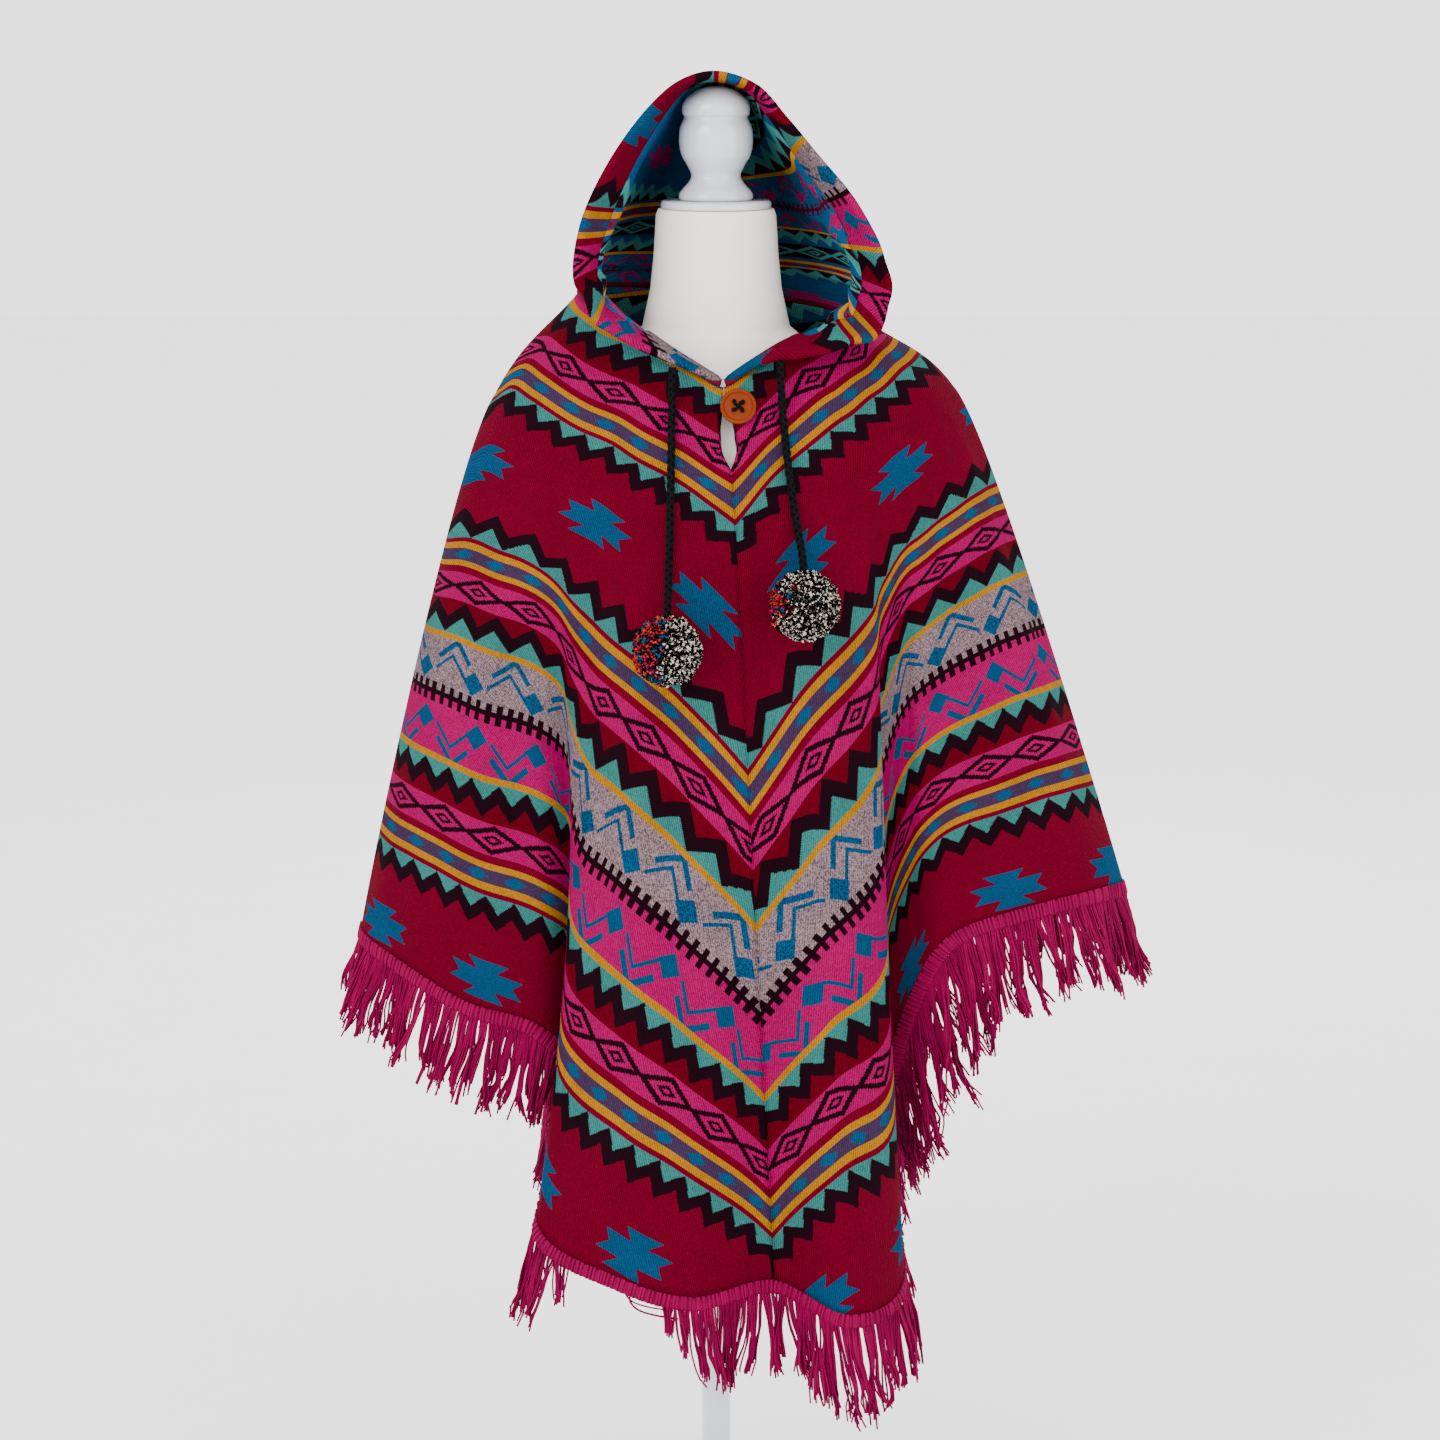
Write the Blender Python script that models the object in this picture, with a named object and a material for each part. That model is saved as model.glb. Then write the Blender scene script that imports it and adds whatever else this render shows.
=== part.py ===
"""Hooded poncho on a limbless dress form, built piece by piece at real size.

Metres, +Z up. The origin is the middle of the stand's underside, and the front faces -Y.
Left and right are as seen from the front: right is +X.
Tables are in millimetres, and MM turns them into metres.
"""

import math
from collections import namedtuple

import bmesh
import bpy
from mathutils import Vector

MM = 0.001

# Cloth and seams
CLOTH = 2.4 * MM
SEAM_GAP = 0.3 * MM

# Body panels: columns from one rib to the next, rows on the shoulder and below it
RIB_COLUMNS = 3
YOKE_ROWS = 4
SKIRT_ROWS = 9
SHOULDER_ROUNDING = 1.4

# Neck slit, closed at the top by the button
SLIT_LENGTH = 62 * MM
SLIT_HALF_WIDTH = 5 * MM
SLIT_TOP_HALF_WIDTH = 1.0 * MM

# Hood
HOOD_COLUMNS = 32
HOOD_ROWS = 12
HOOD_LIFT = 2.2 * MM
THROAT_LIFT = 1.3 * MM
HOOD_START = 0.6
COLLAR_SKIP = 0.09
COLLAR_REACH = 15 * MM
COLLAR_RISE = 9 * MM
COLLAR_DROP = 14 * MM

# Fringe
BAND_HEIGHT = 13 * MM
BAND_THICKNESS = 2.4 * MM
COLUMN_LOCKS = 2
LOCK_SPREAD = 0.13
LOCK_SPLAY = 0.16
LOCK_LEAN = 0.05
SHORTEST_LOCK = 18 * MM
FRINGE_GAP = 1.1 * MM
HEM_STEP = 0.05

# Drawcord and pompoms
CORD_DIAMETER = 7 * MM
CORD_POINTS = 16
POMPOM_RADIUS = 31 * MM
POMPOM_CORE = 19 * MM

# Button and its loop
BUTTON_RADIUS = 15 * MM
BUTTON_THICKNESS = 4.2 * MM
BUTTON_RIM = 2.2 * MM
BUTTON_HOLE_RADIUS = 1.3 * MM
BUTTON_HOLE_OFFSET = 3.1 * MM
BUTTON_AT = 3.3
BUTTON_DOWN = 0.17
BUTTON_STAND_OFF = 0.75 * MM

# Dress form
FORM_WIDTH = 200 * MM
FORM_DEPTH = 118 * MM
SHOULDER_GAP = 0.5 * MM
CHEST_GAP = 7 * MM
POLE_RADIUS = 13 * MM

Rib = namedtuple("Rib", "name neck yoke hem late locks")
Arch = namedtuple("Arch", "name face band side back seam")
Ring = namedtuple("Ring", "z half_width front back")
Turn = namedtuple("Turn", "radius z")
Fold = namedtuple("Fold", "share depth")

# The drape, one row for each ridge and valley of the cloth, from the centre front round by the right.
# neck, yoke and hem are where that line leaves the neck seam, leaves the form and ends. late is how
# late the fold opens on its way down: 0 is even, 1 is all near the hem. locks is the
# fringe's length, and the hem is bare where it is less than SHORTEST_LOCK.
RIBS = [
    Rib("centre front", (6, -86, 1061), (17, -129, 940), (50, -174, 309), 0.1, 56),
    Rib("right lobe ridge", (30, -81, 1075), (62, -123, 945), (112, -205, 290), 0.0, 70),
    Rib("right lobe edge", (53, -74, 1090), (112, -103, 967), (157, -163, 297), 0.0, 52),
    Rib("right valley", (72, -64, 1098), (136, -86, 986), (145, -76, 428), 0.4, 82),
    Rib("right wing root", (86, -55, 1101), (152, -76, 1000), (171, -84, 540), 0.2, 88),
    Rib("right wing inner", (100, -47, 1102), (166, -65, 1014), (200, -93, 590), 0.05, 84),
    Rib("right wing middle", (114, -36, 1103), (184, -49, 1031), (259, -82, 610), -0.1, 66),
    Rib("right wing outer", (125, -20, 1104), (195, -27, 1044), (325, -48, 618), -0.15, 68),
    Rib("right side", (131, -3, 1105), (203, 0, 1051), (359, 4, 613), -0.15, 70),
    Rib("right back outer", (128, 16, 1107), (195, 28, 1048), (330, 54, 603), -0.15, 62),
    Rib("right back middle", (115, 38, 1110), (177, 55, 1039), (257, 94, 582), -0.1, 66),
    Rib("right back valley", (95, 55, 1114), (144, 77, 1025), (160, 88, 468), 0.3, 62),
    Rib("right back edge", (68, 70, 1118), (106, 93, 1010), (164, 158, 342), 0.1, 64),
    Rib("right back ridge", (36, 80, 1122), (56, 104, 997), (88, 203, 303), 0.0, 70),
    Rib("centre back", (0, 84, 1125), (0, 108, 991), (2, 182, 312), 0.1, 66),
    Rib("left back ridge", (-34, 80, 1128), (-56, 104, 998), (-84, 202, 303), 0.0, 68),
    Rib("left back edge", (-62, 69, 1131), (-105, 93, 1010), (-158, 157, 342), 0.1, 62),
    Rib("left back valley", (-85, 53, 1133), (-138, 77, 1023), (-136, 82, 446), 0.4, 60),
    Rib("left back middle", (-100, 36, 1134), (-163, 55, 1034), (-220, 92, 542), -0.05, 50),
    Rib("left back outer", (-111, 16, 1134), (-182, 28, 1042), (-286, 56, 570), -0.2, 44),
    Rib("left side", (-116, -4, 1132), (-189, 0, 1044), (-314, 4, 573), -0.25, 50),
    Rib("left wing outer", (-111, -22, 1128), (-181, -27, 1037), (-276, -54, 558), -0.2, 56),
    Rib("left wing middle", (-101, -38, 1123), (-166, -49, 1023), (-214, -90, 530), -0.05, 60),
    Rib("left wing root", (-86, -50, 1116), (-146, -73, 997), (-152, -98, 511), 0.3, 62),
    Rib("left valley", (-71, -60, 1108), (-128, -85, 982), (-115, -72, 450), 0.4, 58),
    Rib("left lobe edge", (-56, -69, 1099), (-98, -104, 964), (-151, -154, 349), 0.8, 66),
    Rib("left lobe middle", (-41, -77, 1088), (-72, -117, 950), (-82, -196, 320), 0.0, -50),
    Rib("left lobe ridge", (-20, -83, 1075), (-36, -127, 942), (-22, -206, 306), 0.0, 56),
]
RIGHT_SIDE = 8
CENTRE_BACK = 14
LEFT_SIDE = 20

# The hood, one row for each line that runs from the face edge to the seam at the back.
# The first and the last line are the neck seam itself.
HOOD = [
    Arch("left lapel", (-56, -97, 1090), (-64, -76, 1106), (-112, -8, 1146), (-64, 73, 1145), (0, 92, 1139)),
    Arch("left roll", (-95, -88, 1113), (-92, -61, 1130), (-106, 2, 1159), (-60, 80, 1157), (0, 100, 1152)),
    Arch("left cheek", (-117, -73, 1142), (-100, -44, 1153), (-97, 15, 1174), (-56, 92, 1173), (0, 112, 1171)),
    Arch("left temple", (-115, -62, 1186), (-94, -34, 1186), (-85, 25, 1193), (-50, 100, 1193), (0, 121, 1192)),
    Arch("left brow", (-93, -56, 1238), (-74, -28, 1232), (-69, 33, 1225), (-42, 100, 1219), (0, 123, 1213)),
    Arch("left crown", (-57, -48, 1288), (-47, -20, 1279), (-46, 40, 1255), (-30, 96, 1241), (0, 117, 1232)),
    Arch("left of top", (-29, -40, 1311), (-25, -12, 1305), (-24, 46, 1284), (-15, 88, 1263), (0, 108, 1250)),
    Arch("top", (1, -36, 1318), (1, -4, 1311), (1, 50, 1294), (1, 84, 1275), (0, 104, 1258)),
    Arch("right of top", (34, -38, 1307), (27, -10, 1303), (26, 46, 1283), (15, 88, 1263), (0, 108, 1250)),
    Arch("right crown", (59, -46, 1281), (50, -18, 1276), (49, 40, 1254), (32, 96, 1241), (0, 117, 1232)),
    Arch("right brow", (82, -54, 1254), (74, -26, 1240), (72, 33, 1225), (44, 100, 1219), (0, 123, 1213)),
    Arch("right temple", (121, -60, 1206), (103, -30, 1200), (91, 25, 1193), (52, 100, 1193), (0, 121, 1192)),
    Arch("right cheek", (147, -63, 1145), (121, -35, 1153), (107, 15, 1170), (58, 92, 1171), (0, 112, 1171)),
    Arch("right roll", (131, -80, 1102), (114, -54, 1122), (122, 0, 1146), (64, 80, 1152), (0, 100, 1152)),
    Arch("right lapel", (74, -98, 1087), (79, -74, 1102), (128, -8, 1128), (72, 70, 1138), (0, 92, 1139)),
]
HOOD_KNOTS = (0.0, 0.15, 0.5, 0.8, 1.0)

# The casing, from its stitched inner edge to the fold and out: share of the hood's depth, and how far
# inside the cloth's outer layer it lies.
CASING = [Fold(0.13, 2.75), Fold(0.075, 4.0), Fold(0.012, 4.8), Fold(0.0, 2.4), Fold(0.0121, 0.0)]

# The form's torso up to the chest, and its neck: half-width and depth to the front and back. Between
# the two, the shoulders are made from the cloth that lies on them.
TORSO = [
    Ring(500, 118, 86, 90),
    Ring(506, 130, 94, 98),
    Ring(560, 138, 98, 102),
    Ring(630, 130, 94, 95),
    Ring(700, 118, 88, 82),
    Ring(780, 132, 102, 82),
    Ring(860, 148, 114, 86),
    Ring(920, 160, 117, 92),
]
NECK = [
    Ring(1074, 118, 62, 60),
    Ring(1088, 82, 60, 59),
    Ring(1104, 63, 58, 58),
    Ring(1136, 56, 56, 56),
    Ring(1165, 53, 53, 53),
    Ring(1198, 51, 50, 50),
    Ring(1203, 49, 48, 48),
]
SHOULDER_ROWS = (1.0, 0.75)

# Turned pieces above the neck, from the bottom up
NECK_CAP = [Turn(45, 1203.4), Turn(47, 1204.4), Turn(47, 1208), Turn(45.5, 1210)]
FINIAL = [
    Turn(30, 1210.4), Turn(31.5, 1212), Turn(31, 1216), Turn(28, 1220), Turn(23.5, 1225),
    Turn(21, 1231), Turn(24.5, 1239), Turn(29.5, 1248), Turn(31.5, 1260), Turn(30.5, 1271),
    Turn(27, 1279), Turn(28.5, 1282), Turn(29, 1287), Turn(27.5, 1292), Turn(23.5, 1297),
    Turn(14, 1303), Turn(5, 1305.4),
]
BASE = [Turn(156, 0), Turn(160, 4), Turn(158, 9), Turn(60, 17), Turn(22, 24), Turn(20, 46)]

# Routes of the two free ends of the drawcord, chosen by hand: out of the casing, then down the front
LEFT_CORD = [
    (-36, -106.5, 1080), (-36, -107, 1073), (-36.1, -105.5, 1066), (-36.2, -101.5, 1060), (-36.3, -101, 1050),
    (-36.5, -103, 1040), (-36.7, -108.2, 1025), (-36.9, -113.6, 1008), (-37.2, -119.5, 990),
    (-37.6, -124.8, 972), (-38, -129.5, 954), (-38.4, -134.1, 936), (-38.9, -137.7, 918), (-39.3, -142.5, 903),
    (-39.6, -148.5, 893), (-40, -159.6, 877),
]
RIGHT_CORD = [
    (53, -100, 1084), (53.3, -101, 1076), (53.8, -100, 1066), (54.4, -98.5, 1056), (55.1, -98.5, 1046),
    (56.1, -100.5, 1034), (57.6, -106, 1019), (59.5, -112, 1002), (61.8, -117.4, 985), (64.3, -122, 968),
    (66.9, -127, 952), (69.3, -132.5, 939), (71.2, -140, 928.5), (72.6, -152.3, 913),
]
LEFT_POMPOM = Vector((-40, -171.5, 854)) * MM
RIGHT_POMPOM = Vector((73, -164.2, 890)) * MM


def clear_scene():
    for obj in list(bpy.data.objects):
        bpy.data.objects.remove(obj)


def material(name, colour, roughness, metallic=0.0):
    """One finish, made once and shared."""
    made = bpy.data.materials.get(name)
    if made is None:
        made = bpy.data.materials.new(name)
        made.use_nodes = True
        shader = made.node_tree.nodes["Principled BSDF"]
        shader.inputs["Base Color"].default_value = (*colour, 1.0)
        shader.inputs["Roughness"].default_value = roughness
        shader.inputs["Metallic"].default_value = metallic
    return made


def add_object(name, points, faces, finish, smooth=True):
    mesh = bpy.data.meshes.new(name)
    mesh.from_pydata([tuple(p) for p in points], [], faces)
    mesh.update()
    if smooth:
        mesh.shade_smooth()
    mesh.materials.append(finish)
    obj = bpy.data.objects.new(name, mesh)
    bpy.context.scene.collection.objects.link(obj)
    return obj


def spline_at(knots, points, at, closed=False):
    """A smooth curve through points, read at a knot value. Slopes weigh the nearer neighbour more."""
    count = len(points)
    period = knots[-1]
    if closed:
        at %= period
    span = 0
    while span < len(knots) - 2 and at > knots[span + 1]:
        span += 1

    def point(i):
        return points[i % count] if closed else points[min(max(i, 0), count - 1)]

    def knot(i):
        if closed:
            turns, rest = divmod(i, len(knots) - 1)
            return turns * period + knots[rest]
        return knots[min(max(i, 0), count - 1)]

    def slope(i):
        before, after = knot(i) - knot(i - 1), knot(i + 1) - knot(i)
        if before <= 0:
            return (point(i + 1) - point(i)) / after
        if after <= 0:
            return (point(i) - point(i - 1)) / before
        into, out = (point(i) - point(i - 1)) / before, (point(i + 1) - point(i)) / after
        return (into * after + out * before) / (before + after)

    length = knot(span + 1) - knot(span)
    f = (at - knot(span)) / length
    return (
        point(span) * (2 * f**3 - 3 * f**2 + 1)
        + point(span + 1) * (3 * f**2 - 2 * f**3)
        + slope(span) * length * (f**3 - 2 * f**2 + f)
        + slope(span + 1) * length * (f**3 - f**2)
    )


def ring_knots():
    """Where each rib lies round the garment, spaced by the root of the way between their hems."""
    knots = [0.0]
    for i, rib in enumerate(RIBS):
        step = Vector(RIBS[(i + 1) % len(RIBS)].hem) - Vector(rib.hem)
        knots.append(knots[-1] + math.sqrt(step.length))
    return knots


KNOTS = ring_knots()


def rib_lines(at):
    """(neck, yoke, hem, late) of the drape at a place round the garment."""
    neck, yoke, hem = (
        spline_at(KNOTS, [Vector(getattr(r, part)) * MM for r in RIBS], at, closed=True)
        for part in ("neck", "yoke", "hem")
    )
    late = spline_at(KNOTS, [Vector((r.late, 0, 0)) for r in RIBS], at, closed=True).x
    return neck, yoke, hem, late


def body_point(at, down):
    """The middle of the cloth: down runs from 0 at the neck over 1 at the yoke to 2 at the hem."""
    neck, yoke, hem, late = rib_lines(at)
    upper, lower = yoke - neck, hem - yoke
    reach = SHOULDER_ROUNDING * upper.length
    turn = (upper.normalized() + lower.normalized()).normalized() * reach
    if down <= 1:
        f = down
        start, end, leave, arrive = neck, yoke, upper, turn
    else:
        f = down - 1
        start, end, leave, arrive = yoke, hem, turn, lower
    place = (
        start * (2 * f**3 - 3 * f**2 + 1)
        + end * (3 * f**2 - 2 * f**3)
        + leave * (f**3 - 2 * f**2 + f)
        + arrive * (f**3 - f**2)
    )
    if down <= 1:
        return place
    straight = yoke + lower * f
    place = straight + (place - straight) * (1 - f)
    held_back = late * (f - f * f)
    return place - Vector((lower.x, lower.y, 0)) * held_back


def body_normal(at, down):
    """Outward direction of the cloth there, from two short steps along it."""
    step = 0.02
    low, high = max(down - step, 0), min(down + step, 2)
    along = body_point(at + step, down) - body_point(at - step, down)
    fall = body_point(at, high) - body_point(at, low)
    return fall.cross(along).normalized()


def down_steps():
    """Row positions from neck to hem."""
    yoke = [i / YOKE_ROWS for i in range(YOKE_ROWS)]
    skirt = [1 + i / SKIRT_ROWS for i in range(SKIRT_ROWS + 1)]
    return yoke + skirt


def slit_half_width(neck_z, z):
    """Half the opening of the neck slit at height z."""
    share = (neck_z - z) / SLIT_LENGTH
    if share >= 1:
        return SEAM_GAP / 2
    belly = math.sin(math.pi * min(1.0, max(0.0, share)) ** 1.3)
    return SLIT_TOP_HALF_WIDTH * (1 - share) + SLIT_HALF_WIDTH * belly + SEAM_GAP / 2


def panel_places(first, last):
    """Where a panel's columns lie round the garment: on its ribs and evenly between them."""
    places = [
        KNOTS[i] + (KNOTS[i + 1] - KNOTS[i]) * k / RIB_COLUMNS
        for i in range(first, last)
        for k in range(RIB_COLUMNS)
    ]
    return places + [KNOTS[last]]


def panel_grid(places, slit_at):
    """One panel, row by row as (middle point, normal), drawn back from its seams by half a gap."""
    rows = []
    neck_z = {0: rib_lines(places[0])[0].z, -1: rib_lines(places[-1])[0].z}
    for down in down_steps():
        row = [body_point(at, down) for at in places]
        normals = [body_normal(at, down) for at in places]
        pulled = {}
        for edge, inner in ((0, 1), (-1, -2)):
            gap = slit_half_width(neck_z[edge], row[edge].z) if edge == slit_at else SEAM_GAP / 2
            inward = row[inner] - row[edge]
            inward -= normals[edge] * inward.dot(normals[edge])
            pulled[edge] = row[edge] + inward.normalized() * gap
        row[0], row[-1] = pulled[0], pulled[-1]
        rows.append(list(zip(row, normals)))
    return rows


def grid_faces(height, width):
    """Quads of a grid whose rows fall from the top and whose columns run to the right, facing out."""
    return [
        (j * width + i, (j + 1) * width + i, (j + 1) * width + i + 1, j * width + i + 1)
        for j in range(height - 1)
        for i in range(width - 1)
    ]


def cloth(name, points, normals, faces, finish):
    """A closed wall of cloth about middle points, with a rim along every open edge."""
    under = len(points)
    outer = [p + n * CLOTH / 2 for p, n in zip(points, normals)]
    inner = [p - n * CLOTH / 2 for p, n in zip(points, normals)]
    sides = {(a, b) for face in faces for a, b in zip(face, face[1:] + face[:1])}
    both = list(faces) + [tuple(under + i for i in reversed(face)) for face in faces]
    both += [(b, a, under + a, under + b) for a, b in sorted(sides) if (b, a) not in sides]
    return add_object(name, outer + inner, both, finish)


PANELS = [
    ("front_right_panel", 0, RIGHT_SIDE, 0),
    ("back_right_panel", RIGHT_SIDE, CENTRE_BACK, None),
    ("back_left_panel", CENTRE_BACK, LEFT_SIDE, None),
    ("front_left_panel", LEFT_SIDE, len(RIBS), -1),
]


def build_panels():
    wool = material("crimson_wool", (0.28, 0.006, 0.022), 0.85)
    for name, first, last, slit_at in PANELS:
        rows = panel_grid(panel_places(first, last), slit_at)
        points, normals = zip(*(pair for row in rows for pair in row))
        cloth(name, points, normals, grid_faces(len(rows), len(rows[0])), wool)


def lock_jitter(index, channel):
    """A repeatable number between -1 and 1 for each lock."""
    value = math.sin(index * 12.9898 + channel * 78.233) * 43758.5453
    return 2 * (value - math.floor(value)) - 1


def build_fringe():
    """The overcast edging under each panel, with its locks of yarn drawn out of its underside."""
    yarn = material("magenta_yarn", (0.32, 0.004, 0.1), 0.8)
    for name, first, last, slit_at in PANELS:
        places = panel_places(first, last)
        rails = band_rails(places, panel_grid(places, slit_at)[-1])
        lengths = [lock_length(at) for at in places]
        points, faces = fringe_ring(rails, lengths, first)
        add_object(name.replace("panel", "fringe"), points, faces, yarn, smooth=False)


def lock_length(at):
    """Length of the fringe at a place round the garment."""
    return spline_at(KNOTS, [Vector((r.locks, 0, 0)) * MM for r in RIBS], at, closed=True).x


def band_rails(places, hem):
    """The edging's corners at each column: the panel's own hem points moved off its edge."""
    rails = []
    for at, (edge, normal) in zip(places, hem):
        along = body_point(at + HEM_STEP, 2) - body_point(at - HEM_STEP, 2)
        fall = along.cross(normal).normalized()
        half = normal * BAND_THICKNESS / 2
        top, bottom = edge + fall * FRINGE_GAP, edge + fall * BAND_HEIGHT
        rails.append([top + half, top - half, bottom - half, bottom + half])
    return rails


def fringe_ring(rails, lengths, seed):
    """Points and faces of one edging and its locks."""
    points, faces, reach = [], [], []
    for i in range(len(rails) - 1):
        for k in range(COLUMN_LOCKS):
            share = k / COLUMN_LOCKS
            points.extend(a.lerp(b, share) for a, b in zip(rails[i], rails[i + 1]))
            reach.append(lengths[i] + (lengths[i + 1] - lengths[i]) * share)
    points.extend(rails[-1])
    for i, length in enumerate(reach):
        a, b = 4 * i, 4 * (i + 1)
        faces.append((a, a + 3, b + 3, b))
        faces.append((a + 1, b + 1, b + 2, a + 2))
        faces.append((a, b, b + 1, a + 1))
        add_lock(points, faces, (a + 3, a + 2, b + 2, b + 3), length, i + 40 * seed)
    last = 4 * len(reach)
    faces.append((0, 1, 2, 3))
    faces.append((last, last + 3, last + 2, last + 1))
    return points, faces


def add_lock(points, faces, root, reach, index):
    """One lock, which narrows from its root to a blunt tip and leans a little; none where it's bare."""
    if reach < SHORTEST_LOCK:
        faces.append(root)
        return
    corners = [points[i] for i in root]
    centre = sum(corners, Vector()) / 4
    outward = Vector((centre.x, centre.y, 0)).normalized()
    lean = Vector((lock_jitter(index, 1), lock_jitter(index, 2), 0)) * LOCK_LEAN
    length = reach * (1 + LOCK_SPREAD * lock_jitter(index, 3))
    previous = root
    for share, size in ((0.45, 0.52), (1.0, 0.3)):
        middle = centre + Vector((0, 0, -length * share)) + (outward * LOCK_SPLAY + lean) * length * share
        ring = len(points)
        points.extend(middle + (c - centre) * size for c in corners)
        level = (ring, ring + 1, ring + 2, ring + 3)
        for k in range(4):
            faces.append((previous[k], previous[(k + 1) % 4], level[(k + 1) % 4], level[k]))
        previous = level
    faces.append(previous)


def neckline(place_of, depth):
    """The hood's seam edge: the body's neck edge lifted clear of its cloth, and more at the throat."""
    return rib_lines(place_of(depth))[0] + Vector((0, 0, HOOD_LIFT + THROAT_LIFT * (1 - depth) ** 4))


def collar(place_of, depth):
    """The hood's first turn above its seam: it stands up, and rolls forward at the throat."""
    near = (1 - depth) ** 4
    root = neckline(place_of, depth + COLLAR_SKIP * (1 - depth))
    return root + Vector((0, -COLLAR_REACH * near, COLLAR_RISE - COLLAR_DROP * near))


def hood_line(arch, depths):
    """One line of the hood at shares of its way from the face edge to the seam at the back."""
    stops = [Vector(getattr(arch, part)) * MM for part in Arch._fields[1:]]
    return [spline_at(HOOD_KNOTS, stops, depth) for depth in depths]


def hood_surface(depths):
    """Lines of the hood from the left neck seam over the top to the right one."""
    half, whole = KNOTS[CENTRE_BACK], KNOTS[-1]
    def left_place(depth):
        return whole - HOOD_START - (whole - HOOD_START - half) * depth

    def right_place(depth):
        return HOOD_START + (half - HOOD_START) * depth

    table = [[neckline(left_place, d) for d in depths], [collar(left_place, d) for d in depths]]
    table += [hood_line(arch, depths) for arch in HOOD]
    table += [[collar(right_place, d) for d in depths], [neckline(right_place, d) for d in depths]]
    knots = [0.0]
    for before, after in zip(table, table[1:]):
        knots.append(knots[-1] + math.sqrt((after[0] - before[0]).length))
    lines = []
    for i in range(HOOD_COLUMNS + 1):
        at = knots[-1] * i / HOOD_COLUMNS
        lines.append([spline_at(knots, [line[j] for line in table], at) for j in range(len(depths))])
    return lines


def surface_normals(lines):
    """Outward normals of a grid of lines, from its neighbours on each side."""
    normals = []
    for j, line in enumerate(lines):
        before, after = lines[max(j - 1, 0)], lines[min(j + 1, len(lines) - 1)]
        row = []
        for i in range(len(line)):
            deep = line[min(i + 1, len(line) - 1)] - line[max(i - 1, 0)]
            row.append((after[i] - before[i]).cross(deep).normalized())
        normals.append(row)
    return normals


def build_hood():
    """One rectangle of cloth: its face edge turned in as a casing, its halves joined at the back."""
    wool = material("crimson_wool", (0.28, 0.006, 0.022), 0.85)
    depths = [turn.share for turn in CASING] + [(i + 1) / HOOD_ROWS for i in range(HOOD_ROWS)]
    sunk = [turn.depth * MM for turn in CASING] + [0.0] * HOOD_ROWS
    lines = hood_surface(depths)
    out = surface_normals(hood_surface(sorted(depths)))
    order = [sorted(depths).index(d) for d in depths]
    width = len(depths)
    points = [
        line[i] - out[j][order[i]] * sunk[i] for j, line in enumerate(lines) for i in range(width)
    ]
    faces = [
        (j * width + i, j * width + i + 1, (j + 1) * width + i + 1, (j + 1) * width + i)
        for j in range(HOOD_COLUMNS)
        for i in range(width - 1)
    ]
    work = bmesh.new()
    verts = [work.verts.new(p) for p in points]
    for j in range(HOOD_COLUMNS // 2 + 1):
        left, right = verts[j * width + width - 1], verts[(HOOD_COLUMNS - j) * width + width - 1]
        middle = (left.co + right.co) / 2
        left.co = right.co = Vector((0.0, middle.y, middle.z))
    for face in faces:
        work.faces.new([verts[i] for i in face])
    bmesh.ops.remove_doubles(work, verts=work.verts, dist=0.02 * MM)
    work.normal_update()
    work.verts.index_update()
    places = [v.co.copy() for v in work.verts]
    normals = [v.normal * min(v.calc_shell_factor(), 1.5) for v in work.verts]
    polygons = [tuple(v.index for v in face.verts) for face in work.faces]
    work.free()
    cloth("hood", places, normals, polygons, wool)


def build_cord(name, route):
    """A free end of the braided drawcord, as a tube along its route."""
    stuff = material("black_braid", (0.012, 0.012, 0.014), 0.7)
    line = [Vector(p) * MM for p in route]
    knots = list(range(len(line)))
    curve = bpy.data.curves.new(name, "CURVE")
    curve.dimensions = "3D"
    curve.bevel_depth = CORD_DIAMETER / 2
    curve.bevel_resolution = 2
    curve.use_fill_caps = True
    spline = curve.splines.new("POLY")
    spline.points.add(CORD_POINTS)
    for i in range(CORD_POINTS + 1):
        place = spline_at(knots, line, knots[-1] * i / CORD_POINTS)
        spline.points[i].co = (*place, 1.0)
    curve.materials.append(stuff)
    bpy.context.scene.collection.objects.link(bpy.data.objects.new(name, curve))


def build_pompom(name, centre):
    """A ball of yarn locks, each drawn out of one patch of a round core."""
    yarn = material("speckled_yarn", (0.3, 0.28, 0.26), 0.9)
    work = bmesh.new()
    bmesh.ops.create_cube(work, size=1.0)
    bmesh.ops.subdivide_edges(work, edges=work.edges, cuts=1, use_grid_fill=True)
    for vert in work.verts:
        vert.co = vert.co.normalized() * POMPOM_CORE
    drawn = bmesh.ops.extrude_discrete_faces(work, faces=work.faces[:])
    for index, face in enumerate(drawn["faces"]):
        middle = face.calc_center_median()
        reach = POMPOM_RADIUS * (0.97 + 0.03 * lock_jitter(index, 4))
        for vert in face.verts:
            vert.co = middle.normalized() * reach + (vert.co - middle) * 0.7
    mesh = bpy.data.meshes.new(name)
    work.to_mesh(mesh)
    work.free()
    mesh.materials.append(yarn)
    obj = bpy.data.objects.new(name, mesh)
    obj.location = centre
    bpy.context.scene.collection.objects.link(obj)


def turned(name, profile, finish, segments):
    """A solid of revolution about +Z from a profile that runs from the bottom up."""
    points, faces = [], []
    for turn in profile:
        for k in range(segments):
            angle = 2 * math.pi * k / segments
            points.append(Vector((turn.radius * math.cos(angle), turn.radius * math.sin(angle), turn.z)) * MM)
    return ringed(name, points, faces, finish, segments, len(profile))


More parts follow.
